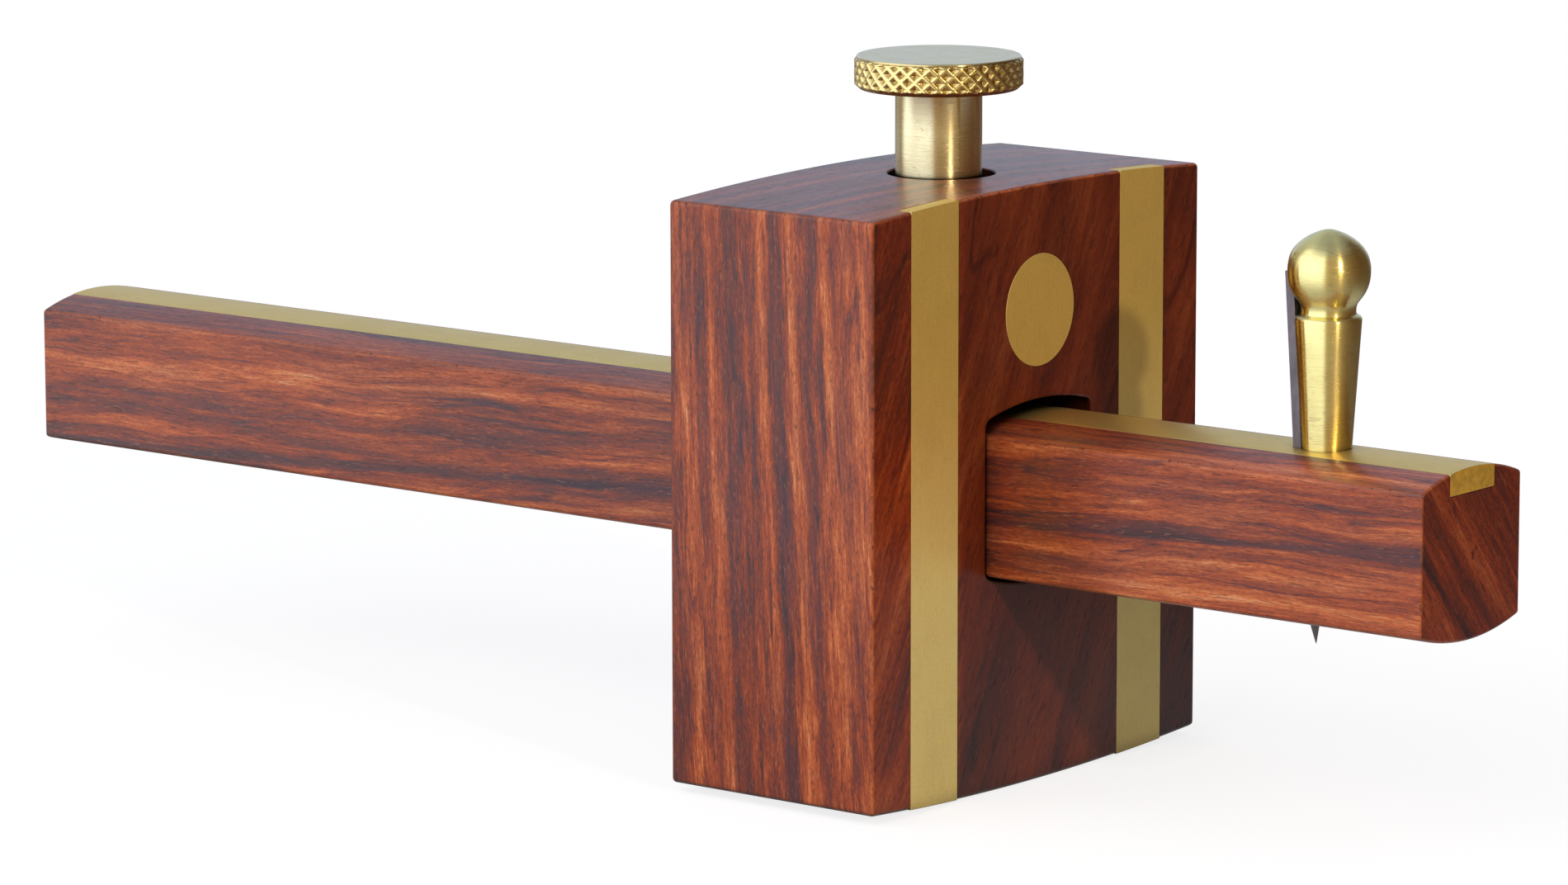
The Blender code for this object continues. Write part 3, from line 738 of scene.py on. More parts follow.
def turned_brass(
    name, centre_x, base=(0.92, 0.85, 0.54), dark=(0.66, 0.50, 0.20), hole_shade=None, grip=None
):
    """Brass turned about the upright line at centre_x, with fine tool marks running round it.
    The (level, depth) argument paints it nearly black below the level, fully so depth lower:
    painted shade where it sinks into its hole.
    grip=(radius, low, high) is a knurled band in a deeper yellow, painted darker as shade, most
    of all in its pits."""
    s = Shader(name)
    where = s.object_mm()
    local = s.vmath("SUBTRACT", where, (centre_x * 1000, 0.0, 0.0))
    x, y, z = s.split(local)
    radius = s.math("SQRT", s.add(s.mul(x, x), s.mul(y, y)))
    # the tool's path: a function of height and radius, hardly changing round the piece
    course = s.add(z, s.mul(radius, 0.9))

    def tooled(along, around, detail, rough):
        path = s.combine(s.mul(course, along), s.mul(x, around), s.mul(y, around))
        return s.noise(path, detail, rough)

    marks = tooled(along=5.5, around=0.06, detail=2, rough=0.65)
    chatter = tooled(along=1.3, around=0.11, detail=3, rough=0.6)
    # a few thin scored rings that fade out part way round
    rings = tooled(along=2.1, around=0.16, detail=0, rough=0.5)
    rings = s.math("ABSOLUTE", s.sub(rings, 0.5))
    rings = s.step(rings, low=0.0, high=0.012, to_low=1.0, to_high=0.0)

    tint, cloud = patina(s, where, base, dark, amount=0.20, per_mm=0.35)
    tint = s.mix(s.remap(marks, low=0.35, high=0.68, to_high=0.16), tint, dark)
    blotch = s.cloud(where, per_mm=(0.9, 0.9, 1.4), detail=3, rough=0.65)
    blotch = s.mul(s.step(blotch, low=0.60, high=0.74), 0.28)
    tint = s.mix(blotch, tint, (0.50, 0.32, 0.12))
    tint = s.mix(s.mul(rings, 0.40), tint, (0.52, 0.38, 0.18))
    if grip:
        outer, low, high = (value * 1000 for value in grip)
        # the knurled band is a deeper yellow, painted darker as shade, darkest in its pits
        band = s.mul(s.step(z, low - 0.1, low), s.step(z, high, high - 0.2))
        band = s.mul(band, s.step(radius, outer - 0.9, outer - 0.7))
        pit_shade = s.step(radius, outer - 0.02, outer - 0.40)
        tint = s.mix(band, tint, s.mix(pit_shade, (0.80, 0.65, 0.27), (0.46, 0.31, 0.10)))
    # painted shade: nearly black below the given level, where the shank sinks into its hole
    if hole_shade:
        level, depth = hole_shade
        in_hole_shade = s.step(z, level * 1000, (level - depth) * 1000)
        tint = s.mix(s.mul(in_hole_shade, 0.93), tint, (0.035, 0.014, 0.010))

    # flat ends are faced, plainer and a little duller
    faced = s.step(s.normal_sizes()[2], low=0.93, high=0.995)
    scratch = s.cloud(where, per_mm=(3.0, 3.0, 0.35), detail=3, rough=0.7)
    height = s.add(s.add(s.mul(marks, 0.5), s.mul(chatter, 0.8)), s.mul(scratch, 0.10))
    height = s.sub(height, s.mul(rings, 0.5))
    # light spreads along the profile, across the tool marks
    round_way = s.vmath("CROSS_PRODUCT", (0.0, 0.0, 1.0), local)
    profile_way = s.vmath("CROSS_PRODUCT", round_way, s.coord.outputs["Normal"])
    turn = s.new(
        "ShaderNodeVectorTransform",
        vector_type="VECTOR",
        convert_from="OBJECT",
        convert_to="WORLD",
    )
    return s.finish(
        tangent=s.fill(turn, profile_way).outputs[0],
        # painted shade in tight corners
        base=s.paint_corner_shade(tint, reach=2.5, low=0.10, high=0.70, floor=0.10),
        metal=1.0,
        rough=s.add(
            s.add(0.20, s.mul(faced, 0.06)), s.add(s.mul(cloud, 0.08), s.mul(marks, 0.05))
        ),
        aniso=s.mul(s.sub(1.0, faced), 0.88),
        normal=s.bump(height, strength=0.20, distance=0.00005),
        coat=0.30,
        coat_rough=0.09,
        coat_normal=s.bump(chatter, strength=0.10, distance=0.00005),
    )


def knife_steel():
    s = Shader("blade_steel")
    where = s.object_mm()
    lines = s.cloud(where, per_mm=(9.0, 0.25, 10.0), detail=2, rough=0.7)
    cloud = s.cloud(where, per_mm=(0.5, 0.5, 0.22), detail=4, rough=0.6)
    _, _, z = s.split(where)
    # brighter towards the ground point
    ground = s.step(z, low=-26.0, high=-31.0)
    base = s.mix(s.step(cloud, low=0.35, high=0.7), (0.12, 0.100, 0.110), (0.21, 0.18, 0.195))
    base = s.mix(s.mul(ground, 0.8), base, (0.36, 0.35, 0.36))
    base = s.mix(s.remap(lines, low=0.35, high=0.65, to_high=0.3), base, (0.09, 0.08, 0.09))
    return s.finish(
        base=base,
        metal=0.72,
        rough=s.add(0.28, s.mul(cloud, 0.2)),
        normal=s.bump(lines, strength=0.25, distance=0.00003),
    )


# ---- Stock -------------------------------------------------------------------------------

STOCK_BANDS = [  # (place across the layers in mm, tone)
    (-33.1, 0.50), (-26.7, 0.36), (-23.8, 0.58), (-21.9, 0.42), (-19.8, 0.60), (-17.4, 0.40),
    (-14.9, 0.42), (-12.4, 0.60), (-10.5, 0.30), (-8.0, 0.62), (-6.0, 0.40), (-3.0, 0.60),
    (-1.0, 0.50), (1.0, 0.66), (3.9, 0.56), (10.7, 0.50),
]
STOCK_PATCHES = [  # (centre in mm, size in mm, tone change)
    ((0.0, 9.5, 11.0), (5.0, 4.5, 13.0), 0.17),
    ((0.0, -8.0, -2.0), (5.0, 4.0, 8.0), 0.06),
    ((0.0, -9.0, 9.0), (6.0, 5.0, 9.0), -0.10),
    # painted shade on the +X face beside the mortise's -Y side
    ((0.0, -12.5, -2.0), (6.0, 5.0, 14.0), -0.12),
    ((0.0, 0.0, -43.0), (7.0, 15.0, 14.0), -0.04),
    ((0.0, 29.0, -38.0), (7.0, 5.0, 22.0), 0.04),
    ((0.0, 28.0, -2.0), (5.0, 5.0, 12.0), 0.16),
    ((-24.0, -31.7, 5.0), (7.0, 9.0, 14.0), -0.04),
    ((-27.0, -31.7, -22.0), (7.0, 9.0, 34.0), 0.08),
    ((-5.0, -31.7, -35.0), (6.0, 9.0, 24.0), 0.08),
]
MORTISE_HALF = 10.25 * MM
# the mortise widens at both mouths: (depth from the face, growth) in mm
MORTISE_MOUTH = [(-3.0, 0.42), (0.0, 0.42), (0.10, 0.14), (0.42, 0.0)]


def stock_wood():
    wood = Rosewood(
        "rosewood_stock",
        fibres=(0.0, 0.45, 1.0),
        layers=(0.985, -0.13, 0.0),
        seed=(13.0, 71.0, 5.0),
        end_axis=2,
        wave=0.40,
        run=0.50,
        sheet=0.42,
    )
    return wood.build(STOCK_BANDS, STOCK_PATCHES, lay=1.35, contrast=0.90, lacquer=0.34)


def mortise_cutter():
    outline = rounded_outline(
        arched(
            -MORTISE_HALF, MORTISE_HALF, half=MORTISE_HALF, steps=16,
            top=-11.95 * MM, rise=1.40 * MM, base=-30.25 * MM, drop=1.55 * MM,
        ),
        radius=1.1 * MM,
    )
    mouth = [(depth * MM, grown(outline, growth * MM)) for depth, growth in MORTISE_MOUTH]
    sections = [(STOCK.low.x + depth, ring) for depth, ring in mouth]
    sections += [(STOCK.high.x - depth, ring) for depth, ring in reversed(mouth)]
    return loft_x("cut_mortise", sections)


def pocket_cutter(side):
    """The groove for a face strip."""
    half = STRIP.size.y / 2 + 0.035 * MM
    return block(
        "cut_pocket",
        (STRIP.low.x - 0.04 * MM, side * STRIP_Y - half, STOCK.low.z - 5 * MM),
        (5 * MM, side * STRIP_Y + half, STOCK.high.z + 5 * MM),
    )


def make_stock():
    half = STOCK_ARCH["half"]
    outline = arched(-half, half, **STOCK_ARCH, steps=48)
    stock = prism("stock_block", outline, STOCK.low.x, STOCK.high.x)
    bevel(stock, 0.55 * MM, segments=4)
    screw_x, screw_y = SCREW_X + 0.28 * MM, 0.16 * MM
    carve(
        stock,
        mortise_cutter(),
        tube("cut_nut", NUT.size.y / 2 + 0.03 * MM, mm(-24.9, 0, 0), mm(4, 0, 0), steps=96),
        tube(
            "cut_screw",
            6.35 * MM,
            (screw_x, screw_y, 0),
            (screw_x, screw_y, STOCK.high.z + 2 * MM),
            steps=96,
            flare=mm(6.52, 2.0),
        ),
        tube("cut_pad", 4.8 * MM, (SCREW_X, 0, -13.5 * MM), (SCREW_X, 0, 0), steps=64),
        pocket_cutter(-1),
        pocket_cutter(1),
    )
    smooth(stock)
    place(stock, "stock", "rosewood_stock", stock_wood(), "stock")


def make_face_strips():
    """Upright brass strips let into the stock's +X face."""
    for i, node in enumerate(("face_strip_right", "face_strip_left")):
        low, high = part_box(node)
        outline = arched(low.y, high.y, **STOCK_ARCH, steps=10)
        strip = prism(node + "_brass", outline, low.x, high.x)
        bevel(strip, 0.10 * MM, segments=2)
        smooth(strip)
        brass = brushed_brass(
            "brass_strip_%d" % i,
            along=2,
            base=(0.99, 0.71, 0.165),
            rough=0.50,
            seed=3.0 + 11.0 * i,
            # painted light: paler towards the bottom
            pale=(2.0, -36.0),
        )
        place(strip, "stock", "brass_inlay", brass, node)


def make_barrel_nut():
    """A brass cylinder along X, running back from x = 0, bored for the thumbscrew."""
    radius, length, chamfer = NUT.size.y / 2, NUT.size.x, 0.4 * MM
    profile = [(0, 0)] + quarter_round(radius, top=0, corner=0.12 * MM, steps=3)
    profile += [(radius, -length + chamfer), (radius - chamfer, -length), (0, -length)]
    nut = lathe("barrel_nut_turned", profile, 128)
    nut.data.transform(Matrix.Rotation(math.radians(90), 4, "Y"))
    ends = [(SCREW_X, 0, z * MM) for z in (-12, 12)]
    carve(nut, tube("cut_bore", 4.15 * MM, *ends, steps=64))
    smooth(nut)
    brass = brushed_brass("brass_plug", along=2, base=(0.97, 0.66, 0.145), rough=0.50, seed=29.0)
    place(nut, "stock", "brass_inlay", brass, "barrel_nut")


# ---- Thumbscrew --------------------------------------------------------------------------

HEAD_R = SCREW.size.x / 2
HEAD_TOP = SCREW.high.z
HEAD_BASE = 24.8 * MM
DIAMONDS = 34
KNURL_ROW = 1.62 * MM  # height of one row of diamonds
KNURL_DEEP = 0.36 * MM
KNURL_TOP = HEAD_TOP - 0.30 * MM
CHAMFER_HIGH, CHAMFER_IN = mm(0.55, 0.62)
KNURL_LOW = HEAD_BASE + CHAMFER_HIGH
KNURL_STEPS = 46
CHAMFER_STEPS = 8

STUD_TOP, STUD_LOW = mm(8.98, -9.2)
STUD_R = 3.95 * MM
PITCH = 1.25 * MM
THREAD_DEEP = 0.62 * MM
THREAD_STEPS = int(round((STUD_TOP - STUD_LOW) / PITCH * 10))


def ridge(x):
    """A triangle wave between 0 and 1."""
    return 1.0 - abs(2.0 * (x - math.floor(x)) - 1.0)


def make_screw_head(brass):
    """The knurled head and the plain shank below it."""
    profile = [(0, HEAD_TOP), (HEAD_R * 0.5, HEAD_TOP), (HEAD_R - 0.62 * MM, HEAD_TOP)]
    profile += quarter_round(HEAD_R - 0.22 * MM, HEAD_TOP, corner=0.28 * MM, steps=4)
    # rows are counted without the point on the axis
    first_knurl = len(profile) - 1
    for k in range(KNURL_STEPS + 1):
        profile.append((HEAD_R, KNURL_TOP + (KNURL_LOW - KNURL_TOP) * k / KNURL_STEPS))
    last_knurl = len(profile) - 2
    for k in range(1, CHAMFER_STEPS + 1):
        t = k / CHAMFER_STEPS
        profile.append((HEAD_R - CHAMFER_IN * t, KNURL_LOW - CHAMFER_HIGH * t))
    last_chamfer = len(profile) - 2
    profile += [
        (HEAD_R - 0.75 * MM, HEAD_BASE),
        (5.5 * MM, HEAD_BASE),
        (5.22 * MM, HEAD_BASE - 0.08 * MM),
        (5.1 * MM, HEAD_BASE - 0.28 * MM),
        (5.1 * MM, HEAD_BASE - 5.0 * MM),
        mm(5.1, 9.4),
        mm(4.7, 9.0),
        mm(0, 9.0),
    ]

    def knurl(row, angle, r, z):
        if not first_knurl <= row <= last_chamfer:
            return r, z
        around = angle * DIAMONDS / (2 * math.pi)
        up = (z - HEAD_BASE) / KNURL_ROW
        one_way = min(1.0, ridge(around + up) * 1.16)
        other_way = min(1.0, ridge(around - up) * 1.12) * 0.93
        height = max(one_way, other_way)
        # rounded ridge tops and pit floors
        height = height * height * (3 - 2 * height)
        # the knurling fades towards both ends, and the top edge curls in
        fade = 1.0
        if z > KNURL_TOP - 0.35 * MM:
            fade = 0.45 + 0.55 * (KNURL_TOP - z) / (0.35 * MM)
        if row > last_knurl:
            fade *= max(0.0, 1.0 - (KNURL_LOW - z) / (0.45 * MM))
        curl = 0.0
        if z > KNURL_TOP - 0.3 * MM:
            t = 1 - (KNURL_TOP - z) / (0.3 * MM)
            curl = 0.22 * MM * t * t
        return r - KNURL_DEEP * (1 - height) * fade - curl, z

    head = lathe("thumbscrew_head", profile, DIAMONDS * 14, knurl)
    move_x(head, SCREW_X)
    smooth(head, 40, weighted=False)
    place(head, "thumbscrew", "brass_turned", brass, "thumbscrew")


def thread(row, angle, r, z):
    if not 1 <= row <= THREAD_STEPS + 1:
        return r, z
    crest = ridge(z / PITCH - angle / (2 * math.pi))
    crest = min(1.0, max(0.0, (crest - 0.08) / 0.8))
    ends = min(1.0, (z - STUD_LOW) / (1.0 * MM), (STUD_TOP - z) / (0.8 * MM))
    return r - THREAD_DEEP * (1 - crest * max(0.0, ends)), z


def make_screw_thread(brass):
    """The threaded stud, with a thin plain tip."""
    tip = SCREW.low.z
    profile = [(0, STUD_TOP), (3.3 * MM, STUD_TOP)]
    for k in range(THREAD_STEPS + 1):
        fall = (STUD_LOW + 0.3 * MM - STUD_TOP) * k / THREAD_STEPS
        profile.append((STUD_R, STUD_TOP - 0.02 * MM + fall))
    profile += [
        (3.0 * MM, STUD_LOW),
        (2.05 * MM, STUD_LOW),
        (2.0 * MM, STUD_LOW - 0.05 * MM),
        (2.0 * MM, tip + 0.15 * MM),
        (1.85 * MM, tip),
        (0, tip),
    ]
    stud = lathe("thumbscrew_thread", profile, 72, thread)
    move_x(stud, SCREW_X)
    smooth(stud, 50, weighted=False)
    place(stud, "thumbscrew", "brass_turned", brass)


def make_thumbscrew():
    brass = turned_brass(
        "brass_screw",
        SCREW_X,
        # painted shade where the shank sinks into the stock
        hole_shade=mm(14.95, 0.35),
        grip=(HEAD_R, HEAD_BASE, HEAD_TOP - 0.05 * MM),
    )
    make_screw_head(brass)
    make_screw_thread(brass)


def make_pressure_pad():
    """A small disc with a raised middle inside its rim, seen from below as a cup."""
    radius, low, high = PAD.size.x / 2, PAD.low.z, PAD.high.z
    profile = [
        (0, low + 0.8 * MM),
        (2.25 * MM, low + 0.8 * MM),
        (2.3 * MM, low + 0.85 * MM),
        (2.3 * MM, high - 0.15 * MM),
        (2.45 * MM, high),
        (radius - 0.3 * MM, high),
        (radius - 0.09 * MM, high - 0.09 * MM),
        (radius, high - 0.3 * MM),
        (radius, low + 0.3 * MM),
        (radius - 0.09 * MM, low + 0.09 * MM),
        (radius - 0.3 * MM, low),
        (0, low),
    ]
    pad = lathe("pressure_pad_turned", profile, 96)
    move_x(pad, SCREW_X)
    smooth(pad, 50)
    brass = turned_brass("brass_pad", SCREW_X)
    place(pad, "pressure_pad", "brass_turned", brass, "pressure_pad")


# ---- Stem --------------------------------------------------------------------------------

STEM_BANDS = [  # (place across the layers in mm, tone)
    (-34.0, 0.50), (-29.5, 0.58), (-26.6, 0.64), (-24.9, 0.60), (-24.1, 0.48), (-23.5, 0.20),
    (-22.9, 0.40), (-21.5, 0.54), (-19.8, 0.42), (-18.4, 0.50), (-17.0, 0.68), (-15.0, 0.52),
    (-10.0, 0.42), (-5.0, 0.50), (3.0, 0.44),
]
STEM_PATCHES = [  # (centre in mm, size in mm, tone change)
    ((60.0, 0.26, -21.9), (1.5, 0.45, 0.9), -0.45),
    ((60.0, 0.9, -21.2), (1.5, 0.3, 0.5), -0.40),
]


def stem_wood():
    wood = Rosewood(
        "rosewood_stem",
        fibres=(1.0, 0.03, 0.012),
        layers=(0.0, 0.72, 0.69),
        seed=(0.0, 37.0, 91.0),
        end_axis=0,
        wave=0.8,
        end_layers=(0.0, 0.80, 0.60),
    )
    return wood.build(STEM_BANDS, STEM_PATCHES, lay=1.2, contrast=0.9, lacquer=0.44)


def taper(z):
    """Radius of the wedge pin's shank."""
    return 2.87 * MM + (z - KNIFE_Z) * 0.0655


def knife_cutters():
    """The wedge pin's hole and the knife's slot, through the stem and its strip."""
    top, low = 3 * MM, STEM.low.z - 3 * MM
    gap = 0.07 * MM
    profile = [(0, top), (taper(top) + gap, top), (taper(low) + gap, low), (0, low)]
    hole = lathe("cut_hole", profile, 96)
    move_x(hole, WEDGE_X)
    slot = block("cut_slot", mm(-0.64, -2.09, -26), mm(1.6, 2.09, 12))
    slot.data.transform(KNIFE_PLACE)
    return hole, slot


def make_stem():
    outline = arched(
        -STEM_HALF, STEM_HALF, STEM_HALF, STEM_TOP, STEM_RISE, STEM_BASE, STEM_DROP, steps=36
    )
    stem = prism("stem_beam", outline, STEM.low.x, STEM.high.x)
    bevel(stem, 0.38 * MM, segments=4)
    gap, past = mm(0.03, 5)
    groove = block(
        "cut_groove",
        (STEM.low.x - past, RIB.low.y - gap, RIB.low.z - gap),
        (STEM.high.x + past, RIB.high.y + gap, RIB.high.z + past),
    )
    carve(stem, groove, *knife_cutters())
    smooth(stem)
    place(stem, "stem", "rosewood_stem", stem_wood(), "stem")


def make_stem_strip():
    """The brass strip let into the stem's top."""
    low, high = RIB.low, RIB.high
    outline = [(low.y, low.z), (high.y, low.z)]
    outline += arc(high.y, low.y, STEM_HALF, STEM_TOP, STEM_RISE, steps=20)
    rib = prism("stem_strip_brass", outline, low.x, high.x)
    bevel(rib, 0.12 * MM, segments=2, angle=30)
    carve(rib, *knife_cutters())
    smooth(rib, 25)
    brass = brushed_brass(
        "brass_rib",
        along=0,
        base=(0.90, 0.66, 0.20),
        rough=0.40,
        seed=47.0,
        metal=0.92,
        butt=(0.98, 0.62, 0.10),
    )
    place(rib, "stem", "brass_inlay", brass, "stem_strip")


# ---- Knife and wedge pin -----------------------------------------------------------------

POINT = math.radians(21.8)
GRIND = math.radians(20.0)
BLADE_HALF, BLADE_UP, BLADE_DOWN, BLADE_THICK = mm(2.0, 20.05, 22.86, 1.1)
EDGE_HALF = 0.04 * MM  # half the thickness left at the cutting edges

COLLAR_Z = 2.9 * MM
# A ball drawn up to a blunt point, with a shoulder, over a hollow neck: (radius, height) in mm.
PIN_HEAD = [
    (0.28, 13.05), (0.58, 13.00), (1.15, 12.83), (1.62, 12.65), (2.03, 12.46), (2.38, 12.27),
    (2.70, 12.07), (2.97, 11.88), (3.21, 11.69), (3.43, 11.50), (3.63, 11.31), (3.81, 11.11),
    (3.97, 10.91), (4.13, 10.69), (4.28, 10.44), (4.41, 10.18), (4.52, 9.90), (4.61, 9.58),
    (4.68, 9.25), (4.73, 8.93), (4.75, 8.60), (4.75, 8.22), (4.73, 7.84), (4.69, 7.46),
    (4.62, 7.10), (4.53, 6.74), (4.40, 6.38), (4.24, 6.04), (4.05, 5.71), (3.84, 5.40),
    (3.62, 5.12), (3.42, 4.86), (3.28, 4.62), (3.20, 4.36), (3.16, 4.10), (3.15, 3.88),
    (3.16, 3.68), (3.20, 3.50),
]


def grind_cutter(face, hand):
    """A block lying on one of the four bevels of the knife's point."""
    along = Vector((0, hand * math.sin(POINT), math.cos(POINT)))
    outward = Vector((0, hand * math.cos(POINT), -math.sin(POINT)))
    normal = (Vector((face, 0, 0)) * math.cos(GRIND) + outward * math.sin(GRIND)).normalized()
    turn = Matrix((along, normal.cross(along), normal)).transposed().to_4x4()
    tool = block("cut_grind", mm(-12, -6, 0), mm(12, 6, 6))
    tool.data.transform(Matrix.Translation((face * EDGE_HALF, 0, -BLADE_DOWN)) @ turn)
    return tool


def make_knife():
    shoulder = -BLADE_DOWN + BLADE_HALF / math.tan(POINT)
    outline = [
        (0.0, -BLADE_DOWN),
        (BLADE_HALF, shoulder),
        (BLADE_HALF, BLADE_UP),
        (-BLADE_HALF, BLADE_UP),
        (-BLADE_HALF, shoulder),
    ]
    blade = prism("blade_knife", outline, -BLADE_THICK / 2, BLADE_THICK / 2)
    carve(blade, *[grind_cutter(face, hand) for face in (1, -1) for hand in (1, -1)])
    bevel(blade, 0.08 * MM, segments=2, angle=60)
    blade.data.transform(KNIFE_PLACE)
    smooth(blade, 25)
    place(blade, "blade", "knife_steel", knife_steel(), "blade")


def make_wedge_pin():
    """A tapered pin with a turned head, shaved flat where it bears on the knife."""
    base, collar = WEDGE.low.z, taper(COLLAR_Z)
    ceiling = WEDGE.high.z - 0.005 * MM
    profile = [(0, WEDGE.high.z)] + [(r * MM, min(z * MM, ceiling)) for r, z in PIN_HEAD]
    profile += [
        (collar - 0.34 * MM, COLLAR_Z + 0.42 * MM),
        (collar - 0.14 * MM, COLLAR_Z + 0.30 * MM),
        (collar - 0.03 * MM, COLLAR_Z + 0.12 * MM),
        (collar, COLLAR_Z - 0.05 * MM),
    ]
    for k in range(1, 12):
        z = COLLAR_Z + (base + 0.4 * MM - COLLAR_Z) * k / 11
        profile.append((taper(z), z))
    profile += [
        (taper(base) - 0.09 * MM, base + 0.12 * MM),
        (taper(base) - 0.3 * MM, base),
        (0, base),
    ]
    wedge = lathe("wedge_pin_turned", profile, 128)
    move_x(wedge, WEDGE_X)
    shave = block("cut_shave", mm(-20, -10, -30), mm(0.75, 10, 40))
    shave.data.transform(KNIFE_PLACE)
    carve(wedge, shave)
    smooth(wedge, 30, weighted=False)
    brass = turned_brass("brass_wedge", WEDGE_X, base=(0.88, 0.79, 0.34), dark=(0.60, 0.42, 0.11))
    place(wedge, "wedge_pin", "brass_turned", brass, "wedge_pin")


# ---- Stage, light and camera -------------------------------------------------------------

FLOOR_HALF = 6
# The room's light round the horizon: (azimuth in degrees from +X towards +Y, colour). A wide
# bright window is on the camera's left, warm dim walls on its right, cool light beyond.
LEVELS = [
    (-180, (0.52, 0.55, 0.62)), (-172, (0.36, 0.33, 0.29)), (-164, (0.66, 0.63, 0.58)),
    (-154, (1.50, 1.54, 1.62)), (-146, (1.70, 1.76, 1.90)), (-76, (1.70, 1.76, 1.90)),
    (-69, (1.36, 1.34, 1.30)), (-62, (0.60, 0.49, 0.34)), (-50, (0.50, 0.38, 0.24)),
    (-38, (0.54, 0.42, 0.28)), (-24, (0.52, 0.41, 0.28)), (-8, (0.36, 0.27, 0.17)),
    (6, (0.25, 0.17, 0.10)), (22, (0.18, 0.11, 0.062)), (45, (0.125, 0.074, 0.042)),
    (82, (0.12, 0.078, 0.052)), (96, (0.24, 0.24, 0.26)), (110, (0.50, 0.57, 0.70)),
    (150, (0.56, 0.64, 0.79)), (168, (0.54, 0.59, 0.70)), (180, (0.52, 0.55, 0.62)),
]
# below the horizon the far wall is dark and warm
LOW_LEVELS = [
    (-180, (0.33, 0.27, 0.21)), (-172, (0.30, 0.24, 0.18)),
    *[level for level in LEVELS if -165 < level[0] < 83],
    (129, (0.17, 0.115, 0.085)), (150, (0.27, 0.22, 0.18)), (165, (0.38, 0.34, 0.29)),
    (180, (0.33, 0.27, 0.21)),
]
PEAK = 2.0  # ramp colours are divided by this, and multiplied back after the ramp


def floor_paper():
    """Pale paper: white to the camera, soft grey as a light source, and only its near part
    shows in reflections."""
    s = Shader("floor_paper")
    s.tree.nodes.remove(s.bsdf)
    fibres = s.noise(s.object_mm(), detail=3, scale=0.03)
    paper = s.new("ShaderNodeBsdfDiffuse")
    s.put(paper.inputs["Color"], s.mix(fibres, (0.335, 0.335, 0.34), (0.345, 0.345, 0.35)))
    ray = s.new("ShaderNodeLightPath").outputs
    away = s.vmath("LENGTH", s.vmath("MULTIPLY", s.object_mm(), (1.0, 1.0, 0.0)))
    # near the stock the paper also glows to glossy rays: a painted reflection that brightens what
    # the metal and lacquer mirror
    near = s.step(away, low=200.0, high=30.0, to_low=0.0, to_high=0.34)
    near_glow = s.mul(ray["Is Glossy Ray"], near)
    glow = s.new("ShaderNodeEmission")
    s.put(glow.inputs["Color"], colour(1.0))
    s.put(glow.inputs["Strength"], s.add(s.mul(ray["Is Camera Ray"], 0.80), near_glow))
    lit = s.fill(s.new("ShaderNodeAddShader"), paper.outputs[0], glow.outputs[0])
    gone = s.mul(ray["Is Glossy Ray"], s.step(away, low=60.0, high=260.0))
    clear = s.new("ShaderNodeBsdfTransparent")
    choose = s.fill(s.new("ShaderNodeMixShader"), gone, lit.outputs[0], clear.outputs[0])
    s.put(s.tree.nodes["Material Output"].inputs["Surface"], choose.outputs[0])
    return s.material


def make_floor():
    corners = [(-1, -1), (1, -1), (1, 1), (-1, 1)]
    verts = [(x * FLOOR_HALF, y * FLOOR_HALF, STOCK.low.z) for x, y in corners]
    floor = mesh_object("floor", verts, [[0, 1, 2, 3]])
    floor.data.materials.append(floor_paper())


def make_lamp():
    """A small warm lamp to the right of the camera."""
    data = bpy.data.lights.new("lamp", "POINT")
    data.energy = 6.2
    data.color = (1.0, 0.78, 0.52)
    data.shadow_soft_size = 0.016
    lamp = add_object("lamp", data)
    lamp.location = (0.702, -0.264, 0.260)


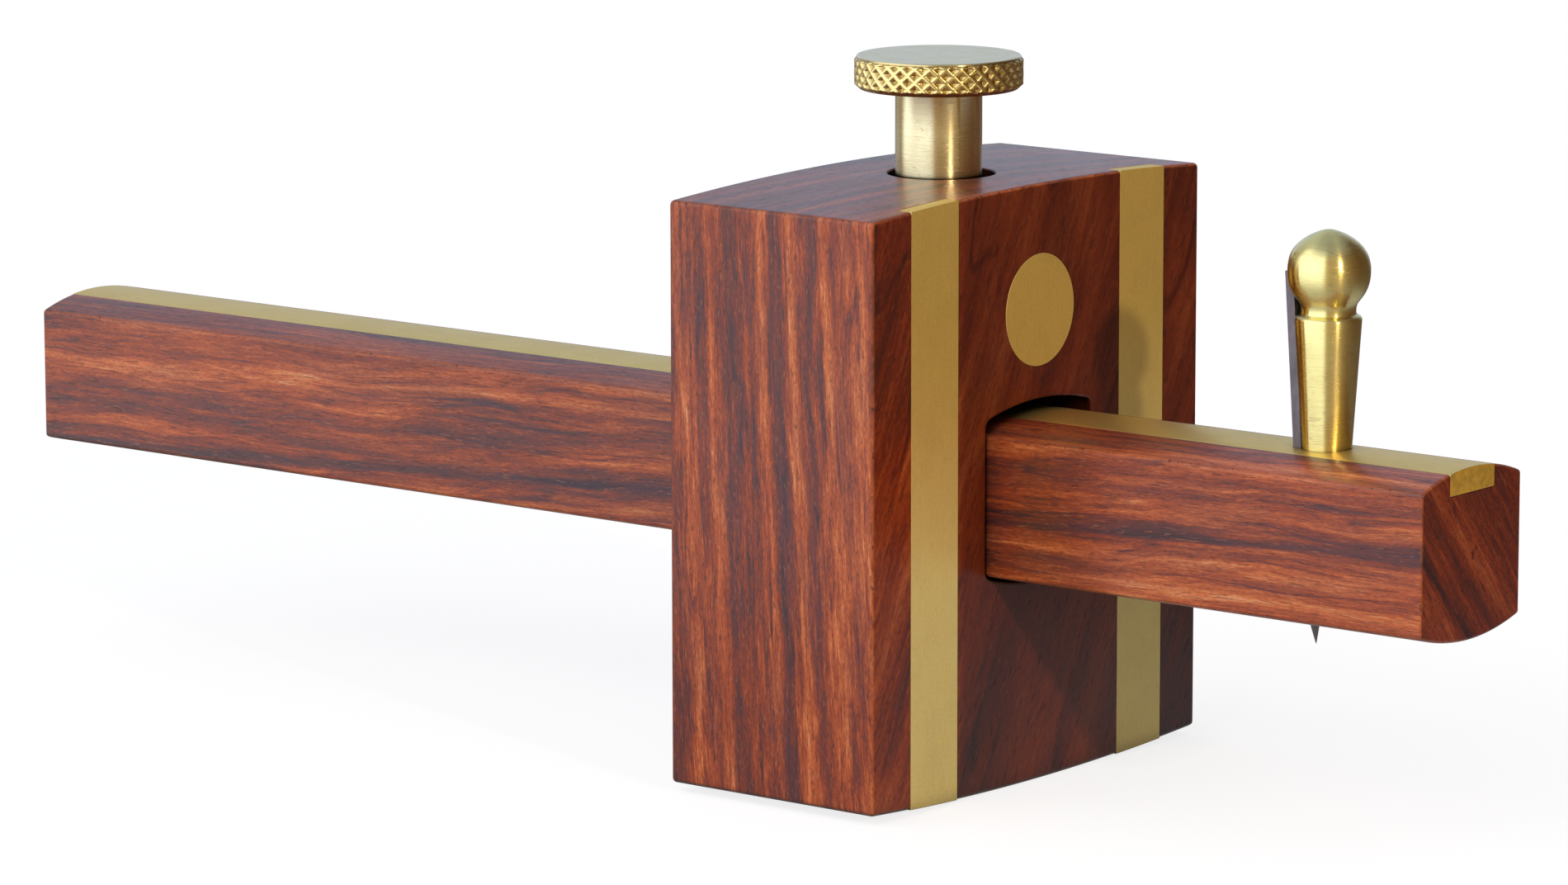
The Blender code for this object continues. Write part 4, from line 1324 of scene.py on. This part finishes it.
def make_world():
    world = bpy.data.worlds.new("studio")
    bpy.context.scene.world = world
    world.use_nodes = True
    world.node_tree.nodes.clear()
    s = Nodes(world.node_tree)
    x, y, z = s.split(s.new("ShaderNodeTexCoord").outputs["Generated"])
    azimuth = s.add(s.mul(s.math("ARCTAN2", y, x), 0.5 / math.pi), 0.5)
    elevation = s.mul(s.math("ARCSINE", z), 180 / math.pi)

    def round_about(levels):
        stops = [((a + 180) / 360, tuple(part / PEAK for part in rgb)) for a, rgb in levels]
        return s.multiplied(s.eased_ramp(azimuth, stops), (PEAK, PEAK, PEAK))

    below = s.step(elevation, low=0.0, high=-6.0)
    sky = s.mix(below, round_about(LEVELS), round_about(LOW_LEVELS))
    sky = s.mix(s.step(elevation, low=38.0, high=70.0), sky, (0.34, 0.38, 0.46))
    sky = s.mix(s.step(elevation, low=-30.0, high=-60.0), sky, (0.22, 0.20, 0.18))
    lit = s.fill(s.new("ShaderNodeBackground"), sky, 1.0)
    # the camera itself sees plain white
    seen = s.fill(s.new("ShaderNodeBackground"), colour(1.0), 1.0)
    to_camera = s.new("ShaderNodeLightPath").outputs["Is Camera Ray"]
    pick = s.fill(s.new("ShaderNodeMixShader"), to_camera, lit.outputs[0], seen.outputs[0])
    s.put(s.new("ShaderNodeOutputWorld").inputs["Surface"], pick.outputs[0])


def make_camera():
    data = bpy.data.cameras.new("camera")
    camera = add_object("camera", data)
    data.sensor_fit = "HORIZONTAL"
    data.sensor_width = 36.0
    data.lens = 163.96
    data.shift_x = 0.00818
    data.shift_y = 0.01697
    data.clip_start = 0.01
    data.clip_end = 50.0
    right = Vector((0.78052203, 0.62512536, -0.00190876))
    up = Vector((-0.10977456, 0.14006751, 0.98403793))
    back = Vector((0.61541442, -0.76785374, 0.17794864))
    turn = Matrix((right, up, back)).transposed().to_4x4()
    camera.matrix_world = Matrix.Translation((0.488335, -0.659350, 0.129489)) @ turn
    bpy.context.scene.camera = camera


def set_view():
    view = bpy.context.scene.view_settings
    view.view_transform = "Standard"
    view.look = "None"
    view.exposure = 0.0
    view.gamma = 1.0


make_stock()
make_face_strips()
make_barrel_nut()
make_thumbscrew()
make_pressure_pad()
make_stem()
make_stem_strip()
make_knife()
make_wedge_pin()
make_floor()
make_lamp()
make_world()
make_camera()
set_view()
